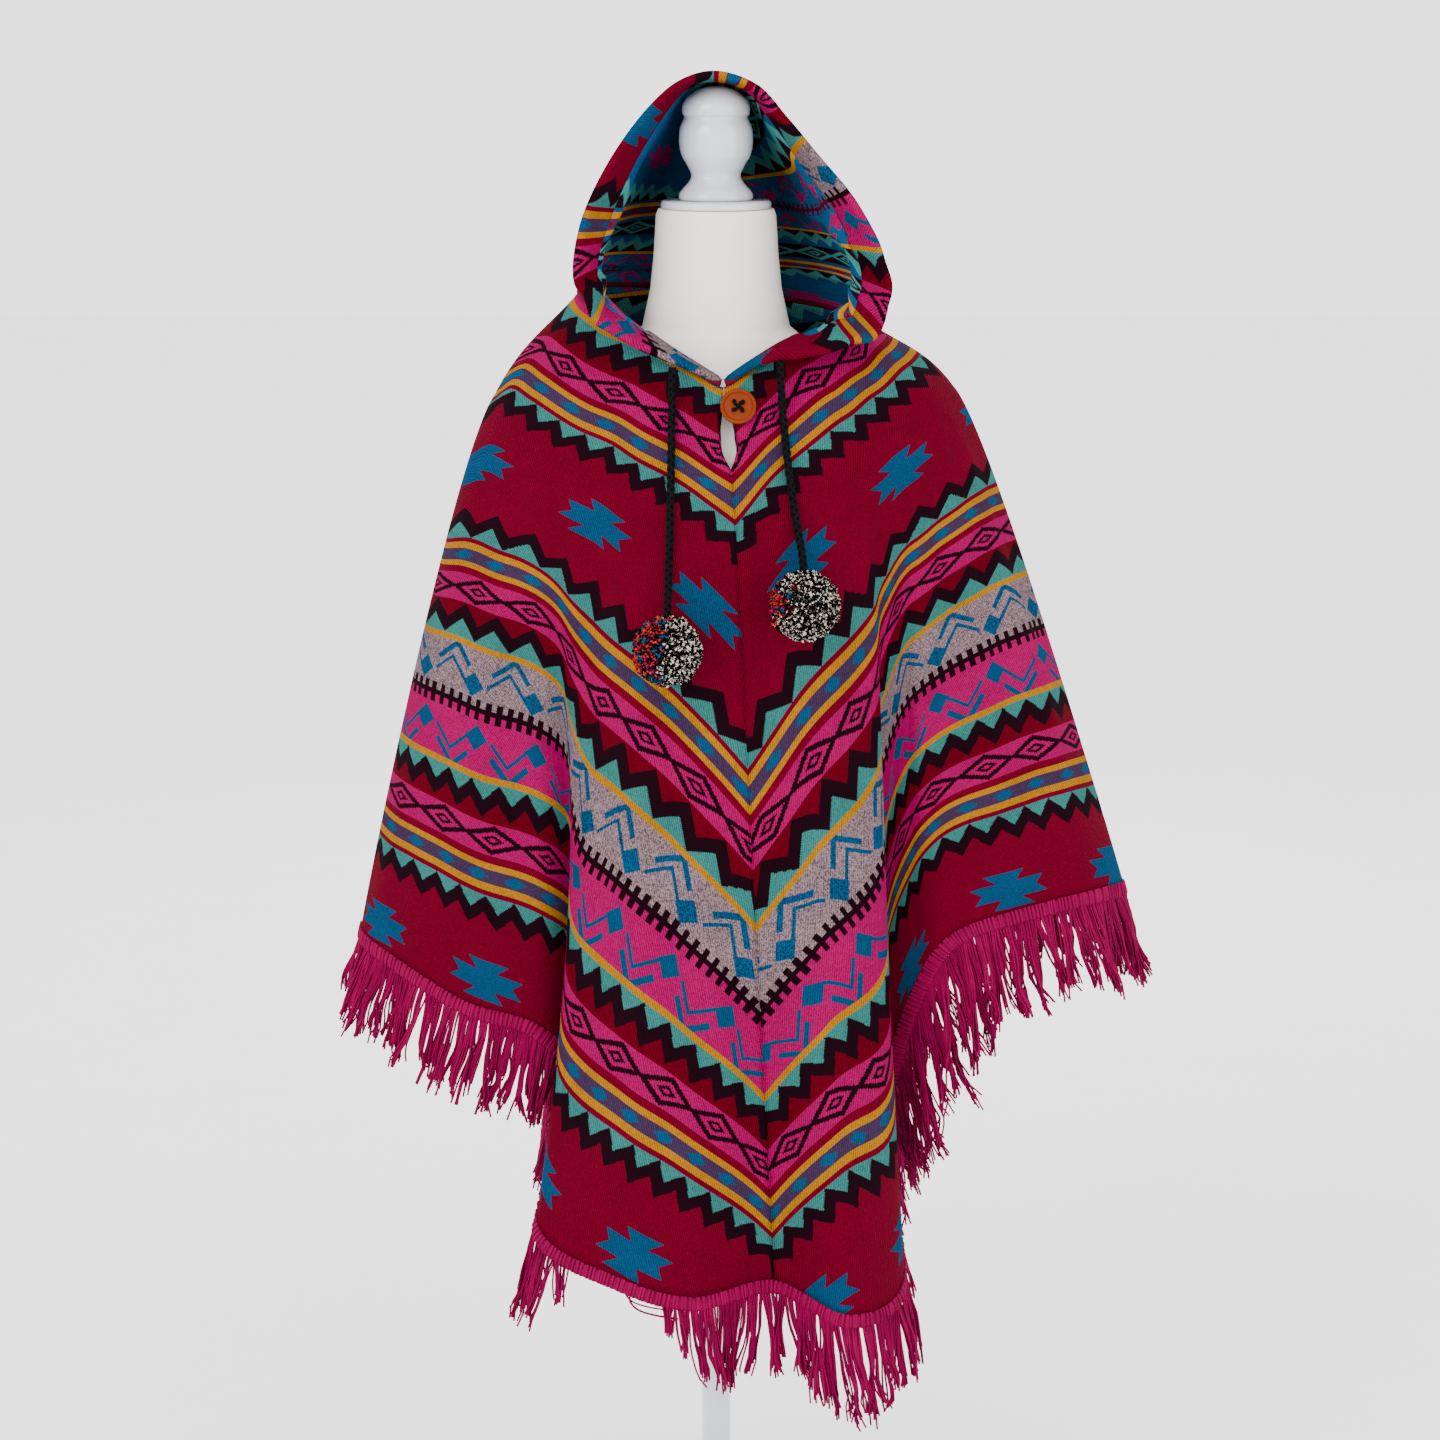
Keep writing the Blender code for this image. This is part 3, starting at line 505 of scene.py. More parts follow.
# %% The table of ridges and valleys
Rib = namedtuple("Rib", "name neck yoke hem late locks stripes")
RIBS = [
    Rib("centre front", (6, -86, 1061), (17, -129, 940), (50, -174, 309), 0.1, 56,
        (-412, -349, -300, -189, -83, 24, 104, 183)),
    Rib("right lobe ridge", (30, -81, 1075), (62, -123, 945), (112, -205, 290), 0.0, 70,
        (-408, -324, -258, -136, -30, 83, 168, 253)),
    Rib("right lobe edge", (53, -74, 1090), (112, -103, 967), (157, -163, 297), 0.0, 52,
        (-398, -313, -242, -113, -8, 96, 176, 256)),
    Rib("right valley", (72, -64, 1098), (136, -86, 986), (145, -76, 428), 0.4, 82,
        (-395, -313, -245, -110, 5, 111, 188, 264)),
    Rib("right wing root", (86, -55, 1101), (152, -76, 1000), (171, -84, 540), 0.2, 88,
        (-392, -311, -245, -112, 3, 108, 182, 254)),
    Rib("right wing inner", (100, -47, 1102), (166, -65, 1014), (200, -93, 590), 0.05, 84,
        (-386, -311, -250, -124, -9, 99, 179, 257)),
    Rib("right wing middle", (114, -36, 1103), (184, -49, 1031), (259, -82, 610), -0.1, 66,
        (-373, -308, -253, -125, -8, 99, 177, 254)),
    Rib("right wing outer", (125, -20, 1104), (195, -27, 1044), (325, -48, 618), -0.15, 68,
        (-366, -310, -259, -128, -8, 101, 178, 252)),
    Rib("right side", (131, -3, 1105), (203, 0, 1051), (359, 4, 613), -0.15, 70,
        (-361, -309, -262, -133, -10, 101, 177, 250)),
    Rib("right back outer", (128, 16, 1107), (195, 28, 1048), (330, 54, 603), -0.15, 62,
        (-361, -308, -262, -132, -7, 106, 181, 254)),
    Rib("right back middle", (115, 38, 1110), (177, 55, 1039), (257, 94, 582), -0.1, 66,
        (-370, -307, -255, -125, -1, 111, 186, 258)),
    Rib("right back valley", (95, 55, 1114), (144, 77, 1025), (160, 88, 468), 0.3, 62,
        (-385, -309, -248, -112, 12, 123, 196, 267)),
    Rib("right back edge", (68, 70, 1118), (106, 93, 1010), (164, 158, 342), 0.1, 64,
        (-398, -315, -250, -118, 1, 113, 187, 258)),
    Rib("right back ridge", (36, 80, 1122), (56, 104, 997), (88, 203, 303), 0.0, 70,
        (-405, -325, -262, -138, -21, 94, 173, 248)),
    Rib("centre back", (0, 84, 1125), (0, 108, 991), (2, 182, 312), 0.1, 66,
        (-408, -340, -285, -179, -75, 37, 116, 190)),
    Rib("left back ridge", (-34, 80, 1128), (-56, 104, 998), (-84, 202, 303), 0.0, 68,
        (-408, -328, -264, -140, -24, 91, 170, 245)),
    Rib("left back edge", (-62, 69, 1131), (-105, 93, 1010), (-158, 157, 342), 0.1, 62,
        (-414, -323, -252, -120, -1, 111, 186, 258)),
    Rib("left back valley", (-85, 53, 1133), (-138, 77, 1023), (-136, 82, 446), 0.4, 60,
        (-420, -327, -254, -113, 12, 123, 196, 267)),
    Rib("left back middle", (-100, 36, 1134), (-163, 55, 1034), (-220, 92, 542), -0.05, 50,
        (-422, -334, -262, -123, 1, 111, 184, 255)),
    Rib("left back outer", (-111, 16, 1134), (-182, 28, 1042), (-286, 56, 570), -0.2, 44,
        (-420, -348, -287, -153, -27, 92, 175, 254)),
    Rib("left side", (-116, -4, 1132), (-189, 0, 1044), (-314, 4, 573), -0.25, 50,
        (-415, -363, -316, -172, -36, 86, 170, 251)),
    Rib("left wing outer", (-111, -22, 1128), (-181, -27, 1037), (-276, -54, 558), -0.2, 56,
        (-420, -349, -289, -154, -28, 88, 172, 258)),
    Rib("left wing middle", (-101, -38, 1123), (-166, -49, 1023), (-214, -90, 530), -0.05, 60,
        (-422, -345, -279, -142, -18, 94, 176, 259)),
    Rib("left wing root", (-86, -50, 1116), (-146, -73, 997), (-152, -98, 511), 0.3, 62,
        (-425, -337, -260, -121, -3, 102, 177, 253)),
    Rib("left valley", (-71, -60, 1108), (-128, -85, 982), (-115, -72, 450), 0.4, 58,
        (-421, -333, -253, -112, 7, 115, 191, 267)),
    Rib("left lobe edge", (-56, -69, 1099), (-98, -104, 964), (-151, -154, 349), 0.8, 66,
        (-417, -327, -246, -115, -5, 103, 183, 264)),
    Rib("left lobe middle", (-41, -77, 1088), (-72, -117, 950), (-82, -196, 320), 0.0, -50,
        (-413, -326, -249, -116, -8, 95, 174, 254)),
    Rib("left lobe ridge", (-20, -83, 1075), (-36, -127, 942), (-22, -206, 306), 0.0, 56,
        (-411, -330, -262, -137, -30, 76, 158, 241)),
]
COUNT = len(RIBS)
STRIPE_DOWNS = (0.0, 0.6, 1.0, 1.3, 1.5, 1.7, 1.85, 2.0)
NECKS, YOKES, HEMS = (np.array([getattr(r, part) for r in RIBS]) * MM for part in ("neck", "yoke", "hem"))
LATES = np.array([r.late for r in RIBS])
STRIPES = np.array([r.stripes for r in RIBS]) * MM
LOCKS = np.array([r.locks for r in RIBS]) * MM
HEM_STEPS = np.linalg.norm(np.roll(HEMS, -1, 0) - HEMS, axis=1)
KNOTS = np.concatenate([[0], np.cumsum(np.sqrt(HEM_STEPS / MM))])
SHOULDER_ROUNDING = 1.4
CLOTH = 2.4 * MM

# %% The surface
def body_points(at, down):
    """The middle of the cloth, for arrays of places round it and of ways down it."""
    neck, yoke, hem = (spline(KNOTS, table, at, closed=True) for table in (NECKS, YOKES, HEMS))
    late = spline(KNOTS, LATES, at, closed=True)[..., None]
    upper, lower = yoke - neck, hem - yoke
    turn = unit(unit(upper) + unit(lower)) * SHOULDER_ROUNDING * np.linalg.norm(upper, axis=-1, keepdims=True)
    below = (down > 1)[..., None]
    f = np.where(below, down[..., None] - 1, down[..., None])
    start, end = np.where(below, yoke, neck), np.where(below, hem, yoke)
    leave, arrive = np.where(below, turn, upper), np.where(below, lower, turn)
    point = (
        start * (2 * f**3 - 3 * f**2 + 1) + end * (3 * f**2 - 2 * f**3)
        + leave * (f**3 - 2 * f**2 + f) + arrive * (f**3 - f**2)
    )
    straight = yoke + lower * f
    sideways = lower * LEVEL
    skirt = straight + (point - straight) * (1 - f) - sideways * late * (f - f * f)
    return np.where(below, skirt, point)


def body_normals(at, down, step=0.02):
    """Outward directions of the cloth, from two short steps along it."""
    low, high = np.maximum(down - step, 0), np.minimum(down + step, 2)
    run = body_points(at + step, down) - body_points(at - step, down)
    fall = body_points(at, high) - body_points(at, low)
    return unit(np.cross(fall, run))


print("hem ring:", round(float(HEM_STEPS.sum()), 3), "m")

# %% [markdown]
# ## Folds that the table can't hold
# Between the ridges the wool sags and dents. Each row below is one soft trough (negative) or ridge,
# from one place on the cloth to another. A noise texture would be quicker, but it would put the same
# dents everywhere.

# %% Creases
Crease = namedtuple("Crease", "rib_from down_from rib_to down_to depth width")
CREASES = [Crease(*row) for row in (
    (0.5, 1.05, 1.4, 2.0, -4.0, 0.30), (1.6, 1.0, 1.5, 1.9, 2.5, 0.25),
    (2.4, 0.95, 2.7, 1.9, -4.0, 0.30), (0.3, 0.75, 2.2, 1.1, -2.2, 0.35),
    (4.4, 1.0, 4.6, 2.0, 3.0, 0.28), (5.5, 1.05, 5.6, 2.0, -4.0, 0.30),
    (6.5, 1.1, 6.6, 2.0, -4.5, 0.30), (7.4, 1.1, 7.5, 1.9, -3.0, 0.28),
    (6.9, 1.2, 7.0, 1.95, 2.5, 0.22), (9.5, 1.1, 9.5, 1.9, -4.0, 0.32),
    (10.6, 1.0, 10.5, 2.0, 3.0, 0.30), (12.4, 1.0, 12.6, 1.9, -4.0, 0.30),
    (13.4, 1.1, 13.5, 2.0, -3.0, 0.28), (14.6, 1.0, 14.5, 2.0, -3.5, 0.28),
    (15.6, 1.0, 15.4, 1.9, -4.0, 0.30), (17.5, 1.0, 17.4, 2.0, 3.0, 0.28),
    (18.6, 1.1, 18.5, 2.0, -4.0, 0.30), (19.5, 1.2, 19.5, 2.0, -3.0, 0.30),
    (21.5, 1.1, 21.4, 2.0, -4.0, 0.30), (22.4, 1.05, 22.4, 2.0, -3.5, 0.28),
    (20.6, 1.3, 20.5, 2.0, 2.5, 0.22), (25.5, 1.0, 25.4, 2.0, -4.0, 0.30),
    (26.4, 1.1, 26.5, 1.95, 2.5, 0.28), (27.3, 1.0, 26.8, 1.9, -4.0, 0.28),
    (27.6, 0.8, 26.2, 1.1, -2.2, 0.35), (27.5, 1.5, 27.4, 2.0, 2.5, 0.20),
)]


def creased(at, down):
    """How far the cloth stands out or in because of its creases, in metres."""
    rib = np.interp(at, KNOTS, np.arange(COUNT + 1))
    total = np.zeros_like(rib)
    for number, crease in enumerate(CREASES):
        share = (down - crease.down_from) / (crease.down_to - crease.down_from)
        wander = 0.12 * np.sin(4.1 * down + number) + 0.05 * np.sin(11 * down + 2 * number)
        line = crease.rib_from + (crease.rib_to - crease.rib_from) * share + wander
        fade = np.clip(share + 0.25, 0, 1) * np.clip(1.35 - share, 0, 1)
        fade = fade**2 * (3 - 2 * fade)
        swell = 1 + 0.35 * np.sin(9 * down + 3 * number)
        total += crease.depth * MM * fade * swell * np.exp(-(((rib - line) / crease.width) ** 2))
    return total


print("creases:", len(CREASES))

# %% [markdown]
# ## The four body panels
# A panel is a grid over its share of the drape, given a wall of real thickness. Solidify could give
# the wall, but the two faces of this double weave differ, so both are laid here with their own
# material. The flat coordinates are worked out on the cloth: stripes from the table, and the other
# way from the distance run along each row.

# %% Panel cloth
CELL = 7 * MM
ROWS, ROW_CROWDING = 112, 0.8
LEAST_SPREAD = 0.35
BIAS = math.tan(math.radians(40))
SEAM_GAP = 0.3 * MM
PUCKER_WIDTH, PUCKER_DEPTH = 0.05, 0.7 * MM
SLIT_LENGTH, SLIT_HALF_WIDTH, SLIT_TOP = 65 * MM, 6.8 * MM, 0.4 * MM
CENTRE_BACK, RIGHT_SIDE, LEFT_SIDE = 14, 8, 20
SHIFT_STRIPES = (-260, -160, -60, 60, 240)
Panel = namedtuple("Panel", "name first last seam slit shifts flat area")
PANELS = [
    Panel("front_right", 0, RIGHT_SIDE, 0, True, (-33, -10, 6, 6, 15), (0.65, 0.68), 0.223),
    Panel("back_right", RIGHT_SIDE, CENTRE_BACK, -1, False, (0, 0, 0, 0, 0), (0.67, 0.68), 0.240),
    Panel("back_left", CENTRE_BACK, LEFT_SIDE, 0, False, (0, 0, 0, 0, 0), (0.66, 0.69), 0.236),
    Panel("front_left", LEFT_SIDE, COUNT, -1, True, (6, 14, 20, 25, 37), (0.69, 0.69), 0.255),
]


def panel_places(first, last):
    """Columns of the fine grid, evenly spaced between two ribs, with the ribs on them."""
    spans = []
    for i in range(first, last):
        width = np.linalg.norm(HEMS[(i + 1) % COUNT] - HEMS[i])
        parts = max(3, math.ceil(width / CELL))
        spans.append(np.linspace(KNOTS[i], KNOTS[i + 1], parts, endpoint=False))
    return np.concatenate(spans + [[KNOTS[last]]])


def slit_half_width(neck_z, z):
    share = np.clip((neck_z - z) / SLIT_LENGTH, 0, 1)
    belly = np.sin(np.pi * share**1.8)
    return np.where(share < 1, SLIT_TOP * (1 - share) + SLIT_HALF_WIDTH * belly, 0) + SEAM_GAP / 2


def flat_coordinates(points, at, down, seam, shifts):
    """The cloth's own flat coordinates at each point of a panel, in metres."""
    run = along(points, 0)
    v = np.empty(run.shape)
    half = slice(0, CENTRE_BACK + 1) if at[-1] <= KNOTS[CENTRE_BACK] else slice(CENTRE_BACK, COUNT + 1)
    table = np.vstack([STRIPES, STRIPES[:1]])[half]
    readings = spline(KNOTS[half], table, at).T
    for i in range(run.shape[1]):
        stops = np.interp(STRIPE_DOWNS, down, run[:, i])
        v[:, i] = spline(stops, readings[:, i], run[:, i])
    u = np.empty(v.shape)
    order = slice(None) if seam == 0 else slice(None, None, -1)
    row, stripe = points[:, order], v[:, order]
    ds = np.linalg.norm(np.diff(row, axis=1), axis=-1)
    dv = np.diff(stripe, axis=1)
    du = np.sqrt(np.maximum(ds**2 - dv**2, (LEAST_SPREAD * ds) ** 2))
    first = -stripe[:, :1] * BIAS
    u[:, order] = np.concatenate([first, first + np.cumsum(du, axis=1)], axis=1)
    return u + np.interp(v / MM, SHIFT_STRIPES, shifts) * MM, v


def add_cloth(name, points, normals, u, v):
    """A piece of cloth about a grid of middle points: both faces and the rim between them."""
    rows, columns = points.shape[:2]
    outer, inner = points + normals * CLOTH / 2, points - normals * CLOTH / 2
    faces = grid_faces(rows, columns)
    count = rows * columns
    index = np.arange(count).reshape(rows, columns)
    ring = np.concatenate([index[:, 0], index[-1, 1:], index[-2::-1, -1], index[0, -2:0:-1]])
    after = np.roll(ring, -1)
    rim = np.stack([after, ring, ring + count, after + count], axis=-1)
    every = np.concatenate([outer.reshape(-1, 3), inner.reshape(-1, 3)])
    all_faces = np.concatenate([faces, faces[:, ::-1] + count, rim])
    slots = np.concatenate([np.zeros(len(faces)), np.ones(len(faces)), np.zeros(len(rim))])
    flat = np.stack([u, v], axis=-1).reshape(-1, 2)
    return add_mesh(name, every, all_faces, [OUTSIDE, INSIDE], slots, np.concatenate([flat, flat]))


def grid_normals(points):
    """Normals of a grid whose rows fall and whose columns run to the right."""
    fall, run = np.gradient(points, axis=0), np.gradient(points, axis=1)
    return unit(np.cross(fall, run))


def grid_area(points):
    """Area of a grid of points, from the diagonals of its cells."""
    falling, rising = points[1:, 1:] - points[:-1, :-1], points[1:, :-1] - points[:-1, 1:]
    return np.linalg.norm(np.cross(falling, rising), axis=-1).sum() / 2


def panel_grid(panel):
    """Middle points of one panel's cloth, with its creases and its seams drawn back."""
    places = panel_places(panel.first, panel.last)
    down = 2 * np.linspace(0, 1, ROWS) ** ROW_CROWDING
    at, way = np.meshgrid(places, down)
    points = body_points(at, way)
    normals = body_normals(at, way)
    rib = np.interp(at, KNOTS, np.arange(COUNT + 1))
    to_seam = np.minimum(rib - panel.first, panel.last - rib)
    inside = np.clip(to_seam * 4, 0, 1)
    points += normals * (creased(at, way) * inside)[..., None]
    pucker = np.exp(-((to_seam / PUCKER_WIDTH) ** 2))
    points -= normals * (pucker * PUCKER_DEPTH)[..., None]
    for edge, inner in ((0, 1), (-1, -2)):
        is_slit = panel.slit and edge == panel.seam
        gap = slit_half_width(points[0, edge, 2], points[:, edge, 2]) if is_slit else SEAM_GAP / 2
        for column, share in ((edge, 1.0), (inner, 0.6)):
            inward = unit(points[:, inner] - points[:, edge]) if column == edge else inward
            points[:, column] += inward * (np.asarray(gap) * share).reshape(-1, 1)
    return places, down, points


panels = {}
for panel in PANELS:
    places, down, points = panel_grid(panel)
    u, v = flat_coordinates(points, places, down, panel.seam, panel.shifts)
    cloth = show(add_cloth(f"{panel.name}_cloth", points, grid_normals(points), u, v), f"{panel.name}_panel")
    panels[panel.name] = (cloth, places, points)
    print(f"area {grid_area(points):.3f} m2, u to {u.max():.3f}, v {v.min():.3f} to {v.max():.3f}")

# %% [markdown]
# ## The hood
# The hood is one rectangle. Its face edge is turned in and stitched down as a casing for the cord,
# and its far edges are joined down the back. The same kind of table gives its lines from the face
# edge to the back seam, from the left neck over the top to the right neck.

# %% The hood's table
Arch = namedtuple("Arch", "name face band side back seam")
HOOD = [
    Arch("left lapel", (-56, -97, 1090), (-64, -76, 1106), (-112, -8, 1146), (-64, 73, 1145), (0, 92, 1139)),
    Arch("left roll", (-95, -88, 1113), (-92, -61, 1130), (-106, 2, 1159), (-60, 80, 1157), (0, 100, 1152)),
    Arch("left cheek",
         (-117, -73, 1142), (-100, -44, 1153), (-97, 15, 1174), (-56, 92, 1173), (0, 112, 1171)),
    Arch("left temple",
         (-115, -62, 1186), (-94, -34, 1186), (-85, 25, 1193), (-50, 100, 1193), (0, 121, 1192)),
    Arch("left brow", (-93, -56, 1238), (-74, -28, 1232), (-69, 33, 1225), (-42, 100, 1219), (0, 123, 1213)),
    Arch("left crown", (-57, -48, 1288), (-47, -20, 1279), (-46, 40, 1255), (-30, 96, 1241), (0, 117, 1232)),
    Arch("left of top", (-29, -40, 1311), (-25, -12, 1305), (-24, 46, 1284), (-15, 88, 1263), (0, 108, 1250)),
    Arch("top", (1, -36, 1318), (1, -4, 1311), (1, 50, 1294), (1, 84, 1275), (0, 104, 1258)),
    Arch("right of top", (34, -38, 1307), (27, -10, 1303), (26, 46, 1283), (15, 88, 1263), (0, 108, 1250)),
    Arch("right crown", (59, -46, 1281), (50, -18, 1276), (49, 40, 1254), (32, 96, 1241), (0, 117, 1232)),
    Arch("right brow", (82, -54, 1254), (74, -26, 1240), (72, 33, 1225), (44, 100, 1219), (0, 123, 1213)),
    Arch("right temple", (121, -60, 1206), (103, -30, 1200), (91, 25, 1193), (52, 100, 1193), (0, 121, 1192)),
    Arch("right cheek", (147, -63, 1145), (121, -35, 1153), (107, 15, 1170), (58, 92, 1171), (0, 112, 1171)),
    Arch("right roll", (131, -80, 1102), (114, -54, 1122), (122, 0, 1146), (64, 80, 1152), (0, 100, 1152)),
    Arch("right lapel", (74, -98, 1087), (79, -74, 1102), (128, -8, 1128), (72, 70, 1138), (0, 92, 1139)),
]
HOOD_KNOTS = (0.0, 0.15, 0.5, 0.8, 1.0)
HOOD_LIFT, THROAT_LIFT = 2.2 * MM, 1.3 * MM
HOOD_START, COLLAR_SKIP = 0.6, 0.09
COLLAR_REACH, COLLAR_RISE, COLLAR_DROP = 15 * MM, 9 * MM, 14 * MM
HOOD_LINES = 150
HOOD_DEEP = 46
Fold = namedtuple("Fold", "share sunk")
CASING = [
    Fold(0.130, 2.75), Fold(0.115, 3.0), Fold(0.095, 3.6), Fold(0.075, 4.2), Fold(0.050, 4.8),
    Fold(0.028, 5.0), Fold(0.012, 4.9), Fold(0.004, 4.3), Fold(0.0, 3.2), Fold(0.0, 1.8),
    Fold(0.004, 0.6), Fold(0.012, 0.0),
]


def neckline(place_of, depth):
    lift = HOOD_LIFT + THROAT_LIFT * (1 - depth) ** 4
    return spline(KNOTS, NECKS, place_of(depth), closed=True) + np.array([0, 0, 1]) * lift[:, None]


def collar(place_of, depth):
    near = (1 - depth) ** 4
    root = neckline(place_of, depth + COLLAR_SKIP * (1 - depth))
    return root + np.stack([0 * near, -COLLAR_REACH * near, COLLAR_RISE - COLLAR_DROP * near], axis=-1)


def left_place(depth):
    return KNOTS[-1] - HOOD_START - (KNOTS[-1] - HOOD_START - KNOTS[CENTRE_BACK]) * depth


def right_place(depth):
    return HOOD_START + (KNOTS[CENTRE_BACK] - HOOD_START) * depth


def hood_surface(depths):
    """Points of the hood, line by line from left to right."""
    table = [neckline(left_place, depths), collar(left_place, depths)]
    table += [spline(HOOD_KNOTS, np.array(arch[1:]) * MM, depths) for arch in HOOD]
    table += [collar(right_place, depths), neckline(right_place, depths)]
    table = np.array(table)
    steps = np.linalg.norm(np.diff(table[:, 0], axis=0), axis=-1)
    knots = np.concatenate([[0], np.cumsum(np.sqrt(steps))])
    at = np.linspace(0, knots[-1], HOOD_LINES + 1)
    return np.stack([spline(knots, table[:, j], at) for j in range(len(depths))], axis=1)


# %% The hood's cloth
HOOD_TOP_STRIPE = 317 * MM
HoodFold = namedtuple("HoodFold", "height place lean width kind")
HOOD_FOLDS = [HoodFold(*row) for row in (
    (-3.0, 0.24, 0.10, 0.035, "sag"), (2.0, 0.33, 0, 0.03, "ridge"), (-2.5, 0.77, -0.08, 0.035, "sag"),
    (-2.2, 0.58, 0.05, 0.03, "sag"), (-5.0, 0.165, -0.10, 0.014, "roll"), (4.5, 0.135, -0.08, 0.014, "roll"),
    (-5.0, 0.835, 0.10, 0.013, "roll"), (4.5, 0.862, 0.06, 0.013, "roll"),
    (-4.5, 0.893, 0.02, 0.012, "roll"), (-4.0, 0.79, -0.12, 0.014, "roll"),
)]


def hood_dents(across, deep):
    """Soft hollows of the standing cloth, and the wrinkles where it rolls at the shoulders."""
    sag = np.sin(np.pi * deep)
    strength = {"sag": sag, "ridge": sag**2, "roll": np.clip(1.6 - 1.6 * deep, 0, 1)}
    total = 0
    for fold in HOOD_FOLDS:
        away = (across - fold.place - fold.lean * deep) / fold.width
        total = total + fold.height * np.exp(-(away**2)) * strength[fold.kind]
    return total * MM


even = np.linspace(0.012, 1, HOOD_DEEP)[1:]
depths = np.concatenate([[fold.share for fold in CASING], even])
sunk = np.concatenate([[fold.sunk for fold in CASING], 0 * even]) * MM
base = hood_surface(depths)
each = np.unique(depths)
smooth = hood_surface(each)
out = unit(np.cross(np.gradient(smooth, axis=0), np.gradient(smooth, axis=1)))
out_of_hood = out[:, np.searchsorted(each, depths)]
across, deep = np.meshgrid(np.linspace(0, 1, HOOD_LINES + 1), depths, indexing="ij")
hood_points = base + out_of_hood * (hood_dents(across, deep) - sunk)[..., None]
half = HOOD_LINES // 2
for j in range(half):
    middle = (hood_points[j, -1] + hood_points[HOOD_LINES - j, -1]) / 2
    for line, side in ((j, -1), (HOOD_LINES - j, 1)):
        hood_points[line, -1] = (side * SEAM_GAP, middle[1], middle[2])
run = along(hood_points, 1)
fold_at = len(CASING) - 3
hood_u = run - run[:, fold_at:fold_at + 1]
arc = along(base[:, len(CASING)], 0)
hood_v = HOOD_TOP_STRIPE + arc - arc[half]
hood_v = np.repeat(hood_v[:, None], len(depths), axis=1)
grid = np.swapaxes(hood_points, 0, 1)
turned = [table[:, ::-1] for table in (grid, -grid_normals(grid), hood_u.T, hood_v.T)]
hood = show(add_cloth("hood_cloth", *turned), "hood")
print(f"hood: {arc[-1]:.3f} m round the face, to {run[:, -1].max():.3f} m deep")
print(f"area {grid_area(hood_points):.3f} m2")

# %% The neck seam's binding
BINDING = 2.6 * MM
ways = np.linspace(0, 1, 60)
tape = np.concatenate([neckline(left_place, ways), neckline(right_place, ways)[-2::-1]])
tape = tape + np.array([0, 0, -0.6]) * MM
binding = speckled("seam_binding", 700, (40, 2, 14), (98, 2, 30), Roughness=0.9, Specular_IOR_Level=0.1)
show(rounded_tube("neck_seam", tape, BINDING, binding, refine=2))

# %% [markdown]
# ## Yarn
# Fringe, overcast stitches and pompoms are all strands of yarn that leave a root point. Hair curves
# could make them, but the model has to end as plain meshes. So one Geometry Nodes tree grows them:
# each root becomes a few points, each point a short line, and the line is bent and given a skin.

# %% The tree that grows strands
VECTORS = {"data_type": "FLOAT_VECTOR"}
LENGTH_CHANCE, GATHER, STRAY, TAPER = 0.14, 0.6, 0.4, 0.4
SWIRL_FINENESS, SWIRL_TURN, SWIRL_WIDTH = 120.0, 20, 0.5


def geometry(tree, kind, settings=(), **inputs):
    """A geometry node, with its sockets named in full: the words of a name joined by _."""
    named_inputs = {socket.replace("_", " "): value for socket, value in inputs.items()}
    return node(tree, "GeometryNode" + kind, settings, named_inputs)


def named(tree, name):
    return geometry(tree, "InputNamedAttribute", VECTORS, Name=name)


def scattered(tree, index, seed):
    """Three random numbers from -1 to 1 for each strand."""
    inputs = {0: (-1, -1, -1), 1: (1, 1, 1), "ID": index, "Seed": seed}
    return node(tree, "FunctionNodeRandomValue", VECTORS, inputs)


